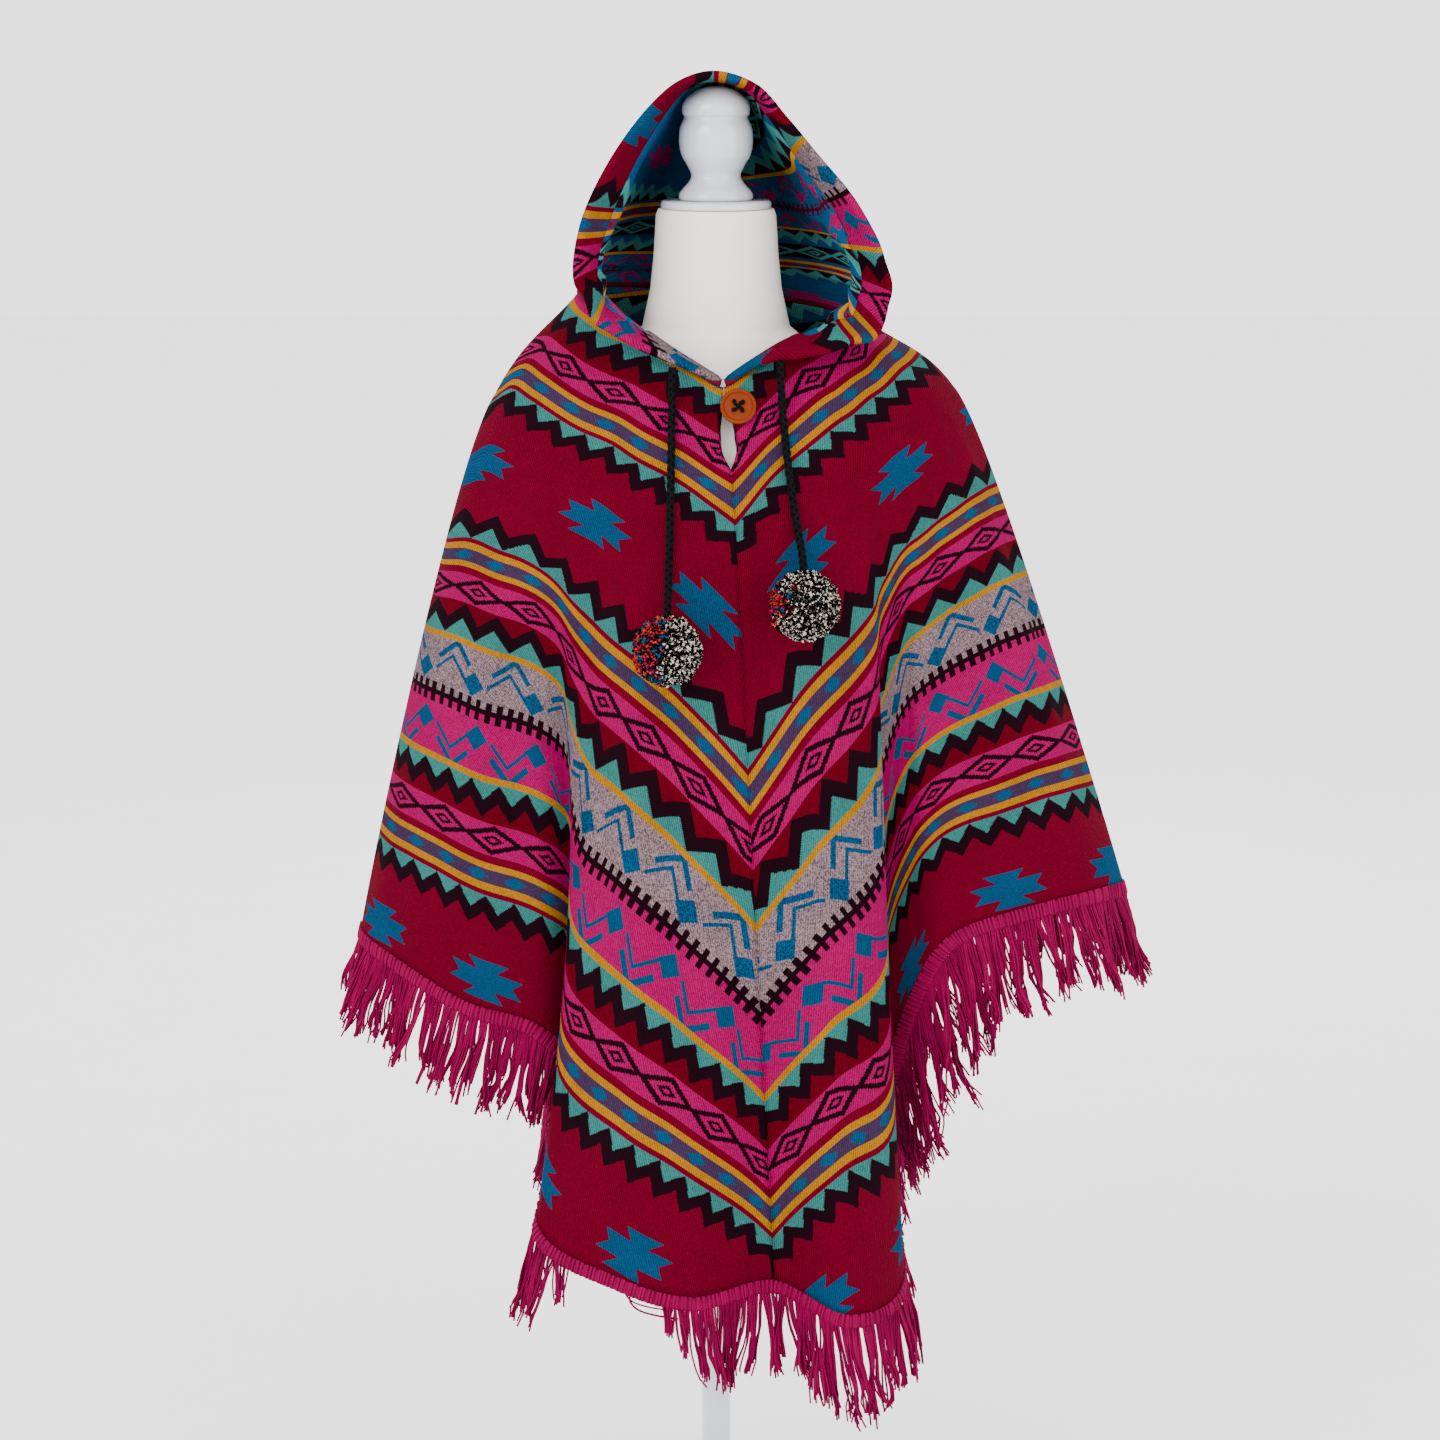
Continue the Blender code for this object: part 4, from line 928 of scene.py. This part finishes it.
def yarn_tree(name, steps, sides, bend):
    """Roots in, strands out. bend gives each point's way from its root, from the tree and its share."""
    tree = bpy.data.node_groups.new(name, "GeometryNodeTree")
    face = tree.interface
    face.new_socket("Roots", in_out="INPUT", socket_type="NodeSocketGeometry")
    for label, kind in (("Thickness", "Float"), ("Strands", "Int"), ("Ruffle", "Float"), ("Seed", "Int")):
        face.new_socket(label, in_out="INPUT", socket_type=f"NodeSocket{kind}")
    face.new_socket("Yarn", in_out="INPUT", socket_type="NodeSocketMaterial")
    face.new_socket("Strands", in_out="OUTPUT", socket_type="NodeSocketGeometry")
    group = tree.nodes.new("NodeGroupInput")
    roots, thickness, strands, ruffle, seed, yarn = (Value(tree, group.outputs[i]) for i in range(6))

    copies = geometry(tree, "DuplicateElements", {"domain": "POINT"}, Geometry=roots, Amount=strands)
    index = geometry(tree, "InputIndex")
    chance, second = scattered(tree, index, seed), scattered(tree, index, seed + 7)
    gather = second.part(0) * STRAY - chance.part(0) * GATHER
    aside = named(tree, "run").scaled(chance.part(0))
    shift = aside.plus(named(tree, "out").scaled(chance.part(1) * ruffle))
    longer = named(tree, "fall").scaled(1 + chance.part(2) * LENGTH_CHANCE * ruffle)
    fall = longer.plus(named(tree, "run").scaled(gather * ruffle))
    kept = geometry(tree, "StoreNamedAttribute", VECTORS, Geometry=copies, Name="fall", Value=fall)
    moved = geometry(tree, "SetPosition", Geometry=kept, Offset=shift)
    thread = geometry(tree, "CurvePrimitiveLine", End=(0, 0, 0.0001))
    thread = geometry(tree, "ResampleCurve", Curve=thread, Count=steps)
    spread = geometry(tree, "InstanceOnPoints", Points=moved, Instance=thread)
    lines = geometry(tree, "RealizeInstances", Geometry=spread)
    share = geometry(tree, "SplineParameter")
    sized = geometry(tree, "SetCurveRadius", Curve=lines, Radius=1 - share * TAPER * ruffle)
    bent = geometry(tree, "SetPosition", Geometry=sized, Offset=bend(tree, share))
    ring = geometry(tree, "CurvePrimitiveCircle", Resolution=sides, Radius=thickness / 2)
    skin = geometry(tree, "CurveToMesh", Curve=bent, Profile_Curve=ring, Fill_Caps=True)
    soft = geometry(tree, "SetShadeSmooth", Geometry=skin)
    whole = geometry(tree, "RealizeInstances", Geometry=soft)
    done = geometry(tree, "SetMaterial", Geometry=whole, Material=yarn)
    end = tree.nodes.new("NodeGroupOutput")
    tree.links.new(done.socket, end.inputs[0])
    return tree


def grow(name, tree, roots, vectors, yarn, **sizes):
    """Runs a yarn tree on root points and keeps the result as a plain mesh."""
    mesh = bpy.data.meshes.new(f"{name}_roots")
    mesh.from_pydata(np.asarray(roots, float).tolist(), [], [])
    for label, values in vectors.items():
        kept = mesh.attributes.new(label, "FLOAT_VECTOR", "POINT")
        kept.data.foreach_set("vector", np.asarray(values, np.float32).ravel())
    obj = link(name, mesh)
    modifier = obj.modifiers.new("yarn", "NODES")
    modifier.node_group = tree
    labels = {item.name: item.identifier for item in tree.interface.items_tree if item.in_out == "INPUT"}
    for label, value in dict(sizes, Yarn=yarn).items():
        modifier[labels[label]] = value
    result = bpy.data.meshes.new_from_object(obj.evaluated_get(bpy.context.evaluated_depsgraph_get()))
    obj.modifiers.clear()
    obj.data = result
    for label in [a.name for a in result.attributes if a.name in ("run", "out", "fall")]:
        result.attributes.remove(result.attributes[label])
    return obj


def drooping(tree, share):
    """A strand that falls from its root and wanders towards its tip."""
    fall, here = named(tree, "fall"), geometry(tree, "InputPosition")
    probe = here.scaled(SWIRL_FINENESS).plus(fall.scaled(share * SWIRL_TURN))
    swirl = noise(tree, probe, 1.0, 1.0, 1).minus((0.5, 0.5, 0.5))
    length = node(tree, "ShaderNodeVectorMath", {"operation": "LENGTH"}, {0: fall}, 1)
    return fall.scaled(share).plus(swirl.scaled(share * length * SWIRL_WIDTH))


def wrapping(tree, share):
    """A stitch that starts on one face of the cloth, goes round under its edge and up the other."""
    angle = share * math.pi
    down = named(tree, "fall").scaled(angle.sine() ** 0.35)
    over = named(tree, "out").scaled(angle.cosine())
    return down.plus(over).plus(named(tree, "run").scaled(share - 0.5))


FRINGE_TREE = yarn_tree("fringe_yarn", 8, 3, drooping)
STITCH_TREE = yarn_tree("overcast_stitches", 9, 6, wrapping)
TUFT_TREE = yarn_tree("pompom_yarn", 4, 3, drooping)

# %% Yarn finish
def yarn_material(name, dark, light):
    made, tree, shader = new_material(name, Specular_IOR_Level=0.05)
    hue = noise(tree, place(tree), 45, 3)
    ply = noise(tree, place(tree), 700, 1)
    plug(shader, "Base Color", blend(tree, hue * 0.7 + ply * 0.4, dark, light))
    plug(shader, "Roughness", 0.72 + 0.2 * ply)
    bump(tree, shader, ply, 0.0003, 0.5)
    return made


MAGENTA = yarn_material("magenta_yarn", colour(60, 0, 27), colour(136, 0, 64))

# %% [markdown]
# ## Hem edging and fringe
# The hem is wound with thick magenta yarn, like a blanket's edge, and loose yarn hangs from it. The
# edging has a plain core that the stitches lie on. Locks stand where the solids have them, at their
# lengths, and each is grown as twenty strands that gather towards its tip.

# %% Edging
BAND_HEIGHT = 13 * MM
BAND_THICKNESS = 3.2 * MM
OVER_EDGE = 1.0 * MM
EDGING_SIDES = 12
STITCH_STEP, STITCH_THICKNESS, STITCH_SLANT = 3.6 * MM, 3.0 * MM, 1.6 * MM
STITCH_HEIGHT = BAND_HEIGHT * 0.9
STRAND_THICKNESS, LOCK_STRANDS, LOCK_DEPTH = 1.9 * MM, 20, 1.4 * MM
RIB_COLUMNS, COLUMN_LOCKS = 3, 2
LOCK_SPREAD, LOCK_SPLAY, LOCK_LEAN, SHORTEST_LOCK = 0.13, 0.26, 0.12, 18 * MM


def hem_frame(points):
    """Hem line of a panel with its outward, its downward and its sideways direction."""
    edge, out = points[-1], grid_normals(points)[-1]
    run = unit(np.gradient(edge, axis=0))
    return edge, out, unit(np.cross(run, out)), run


def edging_core(name, edge, out, fall):
    """An oval tube that holds the hem's edge, closed at both ends."""
    turn = turns(EDGING_SIDES)
    high = (0.5 - 0.5 * np.cos(turn)) * BAND_HEIGHT * 0.96 - OVER_EDGE
    wide = np.sin(turn) * BAND_THICKNESS / 2
    skin = edge[:, None] + fall[:, None] * high[:, None] + out[:, None] * wide[:, None]
    return lidded(name, skin, MAGENTA)


def lock_jitter(index, channel):
    """A fixed chance from -1 to 1 for each lock, as in the part's source."""
    value = math.sin(index * 12.9898 + channel * 78.233) * 43758.5453
    return 2 * (value - math.floor(value)) - 1


def lock_roots(panel, places, bottom):
    """Root, half-width and fall of each lock of one panel, as the part's source has them."""
    coarse = [
        KNOTS[i] + (KNOTS[i + 1] - KNOTS[i]) * k / RIB_COLUMNS
        for i in range(panel.first, panel.last) for k in range(RIB_COLUMNS)
    ] + [KNOTS[panel.last]]
    reach = spline(KNOTS, LOCKS, np.array(coarse), closed=True)
    roots, runs, falls = [], [], []
    for i in range(len(coarse) - 1):
        for k in range(COLUMN_LOCKS):
            number = i * COLUMN_LOCKS + k + 40 * panel.first
            length = reach[i] + (reach[i + 1] - reach[i]) * k / COLUMN_LOCKS
            if length < SHORTEST_LOCK:
                continue
            length *= 1 + LOCK_SPREAD * lock_jitter(number, 3)
            ends = np.interp([k / COLUMN_LOCKS, (k + 1) / COLUMN_LOCKS], [0, 1], coarse[i:i + 2])
            low, high = sampled(ends, places, bottom)[0]
            root = (low + high) / 2
            out = unit(root * LEVEL)
            lean = np.array([lock_jitter(number, 1), lock_jitter(number, 2), 0]) * LOCK_LEAN
            roots.append(root)
            runs.append((high - low) / 2)
            falls.append((np.array([0, 0, -1.0]) + out * LOCK_SPLAY + lean) * length)
    return np.array(roots), np.array(runs), np.array(falls)


for number, panel in enumerate(PANELS):
    obj, places, points = panels[panel.name]
    edge, out, fall, run = hem_frame(points)
    core = show(edging_core(f"{panel.name}_edging", edge, out, fall))
    length = along(edge)
    steps = np.arange(STITCH_STEP / 2, length[-1], STITCH_STEP)
    at, outs, downs, runs = sampled(steps, length, edge, out, fall, run)
    vectors = {"run": runs * STITCH_SLANT, "out": outs * BAND_THICKNESS / 2, "fall": downs * STITCH_HEIGHT}
    stitches = grow(f"{panel.name}_overcast", STITCH_TREE, at - downs * OVER_EDGE, vectors, MAGENTA,
                    Thickness=STITCH_THICKNESS, Strands=1, Ruffle=0.0, Seed=number)
    show(stitches)
    roots, half, falls = lock_roots(panel, places, edge + fall * (BAND_HEIGHT - 2 * MM))
    vectors = {"run": half * 1.15, "out": unit(roots * LEVEL) * LOCK_DEPTH, "fall": falls}
    fringe = grow(f"{panel.name}_yarn", FRINGE_TREE, roots, vectors, MAGENTA,
                  Thickness=STRAND_THICKNESS, Strands=LOCK_STRANDS, Ruffle=1.0, Seed=11 + number)
    show(fringe, f"{panel.name}_fringe")
    print(f"{panel.name}: {len(steps)} stitches, {len(roots)} locks")

# %% A loose strand under the bare stretch
LOOSE = [
    (-70, -194, 309), (-73, -196, 300), (-66, -198, 292), (-52, -200, 288), (-38, -201, 286),
    (-32, -201, 285),
]
show(rounded_tube("loose_strand", np.array(LOOSE) * MM, 0.9 * MM, MAGENTA, sides=6))
loop = [(x - 4, y, z + 7 - 6 * k % 3) for k, (x, y, z) in enumerate(LOOSE)]
show(rounded_tube("loose_loop", np.array(loop) * MM, 0.7 * MM, MAGENTA, sides=6))

# %% The casing's stitches
CASING_LINE, CASING_STEP, CASING_STITCH = 4, 4.4 * MM, 2.6 * MM
line_at = len(CASING) + CASING_LINE
casing_line = hood_points[:, line_at] + out_of_hood[:, line_at] * (CLOTH / 2 + 0.15 * MM)
length = along(casing_line)
steps = np.arange(CASING_STEP, length[-1] - CASING_STEP, CASING_STEP)
at, ways = sampled(steps, length, casing_line, unit(np.gradient(casing_line, axis=0)))
still = np.zeros_like(at)
sewing = speckled("casing_thread", 800, (14, 2, 8), (70, 10, 34), Roughness=0.8, Specular_IOR_Level=0.05)
vectors = {"run": still, "out": still, "fall": ways * CASING_STITCH}
show(grow("casing_stitches", TUFT_TREE, at, vectors, sewing,
          Thickness=1.1 * MM, Strands=1, Ruffle=0.0, Seed=3))

# %% [markdown]
# ## Pompoms
# Each free end carries a cut-yarn ball. A displaced sphere would read as a stone, so several hundred
# short strands stand out of a small core, marled black and white, with a patch of bright yarn.

# %% Pompoms
POMPOM_RADIUS = 31 * MM
POMPOM_CORE = 20 * MM
POMPOMS = {"left": ((-40, -171.5, 854), 0.12), "right": ((73, -164.2, 890), -0.55)}
TUFTS = 620


def marled(name, centre, patch):
    """Black and white plied yarn, with bright strands on one side."""
    made, tree, shader = new_material(name, Specular_IOR_Level=0.05)
    spot = place(tree)
    speck = noise(tree, spot, 330, 1)
    paint = blend(tree, speck > 0.56, colour(2, 2, 2), colour(188, 179, 164))
    hue = noise(tree, spot, 75, 1)
    bright = blend(tree, hue > 0.44, colour(10, 60, 84), colour(146, 8, 44))
    bright = blend(tree, hue > 0.52, bright, colour(168, 58, 14))
    bright = blend(tree, hue > 0.58, bright, colour(112, 6, 66))
    bright = blend(tree, speck < 0.48, bright, colour(2, 2, 2))
    x, z = spot.part(0) - centre[0] * MM, spot.part(2) - centre[2] * MM
    side = x * -60 + z * 14 + (noise(tree, spot, 50, 1) - 0.5) * 3.2 + patch
    plug(shader, "Base Color", blend(tree, side > 0.45, paint, bright))
    plug(shader, "Roughness", 0.75 + 0.2 * speck)
    bump(tree, shader, speck, 0.0003, 0.4)
    return made


def ball_directions(count, seed):
    """Evenly spread directions with a little chance in them."""
    k = np.arange(count) + 0.5
    height, turn = 1 - 2 * k / count, np.pi * (1 + 5**0.5) * k
    flat = np.sqrt(1 - height**2)
    even = np.stack([flat * np.cos(turn), flat * np.sin(turn), height], axis=-1)
    return unit(even + np.random.default_rng(seed).normal(0, 0.06, even.shape))


for number, (side, (centre, patch)) in enumerate(POMPOMS.items()):
    ways = ball_directions(TUFTS, 5 + number)
    reach = 1 + np.random.default_rng(31 + number).normal(0, 0.035, (TUFTS, 1))
    middle = np.array(centre) * MM
    sideways = unit(np.cross(ways, np.array([0.3, 0.5, 0.8])))
    vectors = {"run": sideways * 3 * MM, "out": np.cross(ways, sideways) * 3 * MM,
               "fall": ways * (POMPOM_RADIUS - POMPOM_CORE) * 1.12 * reach}
    marl = marled(f"marled_yarn_{side}", centre, patch)
    ball = grow(f"pompom_{side}_yarn", TUFT_TREE, middle + ways * POMPOM_CORE * 0.8, vectors, marl,
                Thickness=2.5 * MM, Strands=3, Ruffle=0.6, Seed=40 + number)
    show(ball, f"pompom_{side}")
    cords[side] += (ball,)

# %% [markdown]
# ## Button and its threads
# The wooden button keeps its solid, which has the right size, rim and holes. It needs turned-wood
# colour, the black thread that crosses its holes, and the thread loop on the other edge of the slit.

# %% Button
BUTTON_AT, BUTTON_DOWN, BUTTON_STAND_OFF = 3.3, 0.17, 0.75 * MM
wood_shine = {"Coat_Weight": 0.06, "Coat_Roughness": 0.2, "Specular_IOR_Level": 0.08}
wood, tree, shader = new_material("orange_wood", **wood_shine)
along_grain = {"Vector": place(tree), "Scale": (1.0, 6.0, 1.0), "Rotation": (0, 0, 0.5)}
stretched = node(tree, "ShaderNodeMapping", {}, along_grain)
grain = noise(tree, stretched, 160, 4)
plug(shader, "Base Color", blend(tree, grain, colour(88, 26, 0), colour(122, 46, 0)))
plug(shader, "Roughness", 0.28 + 0.2 * grain)
bump(tree, shader, grain, 0.0002, 0.3)


def repaint(name, paint):
    """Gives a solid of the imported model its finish."""
    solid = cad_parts[name].data
    solid.materials.clear()
    solid.materials.append(paint)


repaint("button", wood)
at, down = np.array([BUTTON_AT % KNOTS[-1]]), np.array([BUTTON_DOWN])
middle, out = body_points(at, down)[0], body_normals(at, down)[0]
middle = middle + out * (CLOTH / 2 + BUTTON_STAND_OFF)
turned_to = Vector(out).to_track_quat("Z", "Y")
across, upward = np.array(turned_to @ Vector((1, 0, 0))), np.array(turned_to @ Vector((0, 1, 0)))
thread_black = speckled("black_thread", 1500, (3, 2, 3), (14, 11, 14), Roughness=0.8, Specular_IOR_Level=0.05)
HOLES, HOLE_OFFSET, THREAD, LOOP_THREAD = 4, 3.1 * MM, 1.15 * MM, 0.7 * MM
for k in range(HOLES):
    angle = (k + 0.5) * math.pi / 2
    hole = np.array([math.cos(angle), math.sin(angle)]) * HOLE_OFFSET
    hook = np.array([math.cos(angle + 1.0), math.sin(angle + 1.0)]) * HOLE_OFFSET * 0.9
    stops = [(hole, 1.4), (hole * 1.2, 3.6), (hole * 1.9 - hook * 0.5, 4.2), (hole * 1.9, 4.4)]
    stops += [(hole * 0.8 + hook * 0.3, 4.4), (hook * 0.05, 4.1)]
    line = [middle + across * x + upward * y + out * z * MM for (x, y), z in stops]
    show(rounded_tube(f"button_thread_{k}", line, THREAD, thread_black))
anchor = body_points(np.array([KNOTS[-1] - 1.2]), down)[0]
way = unit(middle - anchor)
rise = np.cross(out, way)
LOOP = [
    (-1.0, 0.2, 1.9), (1.0, 2.2, 1.9), (5.5, 1.9, 2.2), (8.5, 0.9, 2.3),
    (8.5, -0.7, 2.3), (5.5, -1.7, 2.2), (1.0, -2.0, 1.9), (-1.0, -0.2, 1.9),
]
loop_line = [anchor + (way * a + rise * b + out * c) * MM for a, b, c in LOOP]
show(rounded_tube("button_loop", loop_line, LOOP_THREAD, thread_black))

# %% [markdown]
# ## The dress form
# A limbless form carries the cloth: a torso and neck under a white knitted cover, a cap and a
# turned finial in gloss white, on a pole and a round base. The torso's sections are the source's,
# taken at many more places round it. The turned pieces are profiles spun about the middle.

# %% The form's torso
Ring = namedtuple("Ring", "z half_width front back")
TORSO = [
    Ring(500, 118, 86, 90), Ring(506, 130, 94, 98), Ring(560, 138, 98, 102), Ring(630, 130, 94, 95),
    Ring(700, 118, 88, 82), Ring(780, 132, 102, 82), Ring(860, 148, 114, 86), Ring(920, 160, 117, 92),
]
NECK = [
    Ring(1074, 118, 62, 60), Ring(1088, 82, 60, 59), Ring(1104, 63, 58, 58), Ring(1136, 56, 56, 56),
    Ring(1165, 53, 53, 53), Ring(1198, 51, 50, 50), Ring(1203, 49, 48, 48),
]
FORM_WIDTH, FORM_DEPTH = 200 * MM, 118 * MM
SHOULDER_ROWS, SHOULDER_GAP, CHEST_GAP = (1.0, 0.75), 1.6 * MM, 7 * MM
FORM_COLUMNS = 128
BETWEEN_ROWS = 6


def form_ring(ring, at):
    place = body_points(at, np.ones_like(at))
    angle = np.arctan2(place[:, 1] / FORM_DEPTH, place[:, 0] / FORM_WIDTH)
    deep = np.where(place[:, 1] > 0, ring.back, ring.front)
    high = np.full_like(at, ring.z)
    return np.stack([ring.half_width * np.cos(angle), deep * np.sin(angle), high], axis=-1) * MM


def shoulder_ring(down, at):
    down = np.full_like(at, down)
    place = body_points(at, down)
    stand_off = SHOULDER_GAP + CHEST_GAP * np.maximum(0, 1 - abs(place[:, 0]) / (0.85 * FORM_WIDTH))
    return place - body_normals(at, down) * (CLOTH / 2 + stand_off)[:, None]


at = np.linspace(0, KNOTS[-1], FORM_COLUMNS, endpoint=False)
rings = [form_ring(r, at) for r in TORSO] + [shoulder_ring(d, at) for d in SHOULDER_ROWS]
rings = np.array(rings + [form_ring(r, at) for r in NECK])
fine = np.linspace(0, len(rings) - 1, BETWEEN_ROWS * (len(rings) - 1) + 1)
uprights = sampled(fine, np.arange(len(rings)), *np.swapaxes(rings, 0, 1))
cover, tree, shader = new_material("knitted_cover", Sheen_Weight=0.2, Specular_IOR_Level=0.25)
spot = place(tree)
mesh_fine, cloudy = noise(tree, spot, 900, 1), noise(tree, spot, 14, 3)
shade = cloudy * 0.6 + mesh_fine * 0.4
plug(shader, "Base Color", blend(tree, shade, colour(222, 213, 203), colour(244, 237, 228)))
plug(shader, "Roughness", 0.75 + 0.2 * mesh_fine)
bump(tree, shader, mesh_fine + cloudy, 0.0006, 0.5)
show(lidded("form_body", np.stack(uprights, axis=1), cover), "form_torso")

# %% Turned pieces, pole and base
gloss = speckled("white_gloss", 30, (186, 189, 197), (206, 209, 216), 4, rough=(0.14, 0.12),
                 relief=(0.0002, 0.2), Coat_Weight=0.6, Coat_Roughness=0.08)
NECK_CAP = [(45, 1203.4), (46.6, 1203.9), (47, 1204.8), (47, 1207.4), (46.6, 1208.6), (45.5, 1210)]
FINIAL = [
    (30, 1210.4), (31.5, 1212), (31, 1216), (28, 1220), (23.5, 1225), (21, 1231), (24.5, 1239), (29.5, 1248),
    (31.5, 1260), (30.5, 1271), (27, 1279), (28.5, 1282), (29, 1287), (27.5, 1292), (23.5, 1297), (14, 1303),
    (5, 1305.4),
]
TURNED_SIDES = 72


def spun(name, profile, refine):
    """A turned piece: its profile of radius and height, smoothed and spun about the middle."""
    profile = smoothed(np.array(profile, float) * MM, refine * (len(profile) - 1) + 1)
    turn = turns(TURNED_SIDES)
    flat = np.stack([np.cos(turn), np.sin(turn)], axis=-1)
    rings = [np.concatenate([flat * r, np.full((TURNED_SIDES, 1), z)], axis=1) for r, z in profile]
    return lidded(name, rings, gloss)


show(spun("neck_disc", NECK_CAP, 2), "neck_cap")
show(spun("turned_finial", FINIAL, 4), "finial")
repaint("stand_base", gloss)
repaint("stand_pole", gloss)

# %% [markdown]
# ## What is soft
# Each body panel's cloth is looked up once more; nothing else is done with it.

for panel in PANELS:
    cloth = panels[panel.name][0]

# %% [markdown]
# ## Floor, light and world
# A pale floor and three soft lights give the photograph's even studio light with little shadow.

# %% Studio
SKY_STRENGTH = 2.5
LIT = Vector((0, 0, 0.8))
world = bpy.data.worlds.new("studio")
world.use_nodes = True
sky = world.node_tree.nodes["Background"]
sky.inputs[0].default_value = (1, 1, 1, 1)
sky.inputs[1].default_value = SKY_STRENGTH
bpy.context.scene.world = world

Lamp = namedtuple("Lamp", "name place size power")
LAMPS = [
    Lamp("key", (-2.0, -2.6, 2.6), 1.8, 75),
    Lamp("fill", (2.4, -2.2, 1.6), 2.4, 30),
    Lamp("rear", (0.4, 2.6, 2.4), 2.0, 35),
]
for lamp in LAMPS:
    data = bpy.data.lights.new(lamp.name, "AREA")
    data.size, data.energy = lamp.size, lamp.power
    obj = link(lamp.name, data)
    obj.location = lamp.place
    obj.rotation_euler = (LIT - Vector(lamp.place)).to_track_quat("-Z", "Y").to_euler()

floor_paint = speckled("pale_floor", 6, (246, 246, 246), (250, 250, 250), Roughness=0.9)
FLOOR = 12
corners = [(-FLOOR, -FLOOR, 0), (FLOOR, -FLOOR, 0), (FLOOR, FLOOR, 0), (-FLOOR, FLOOR, 0)]
floor = add_mesh("floor", corners, [(0, 1, 2, 3)], [floor_paint])
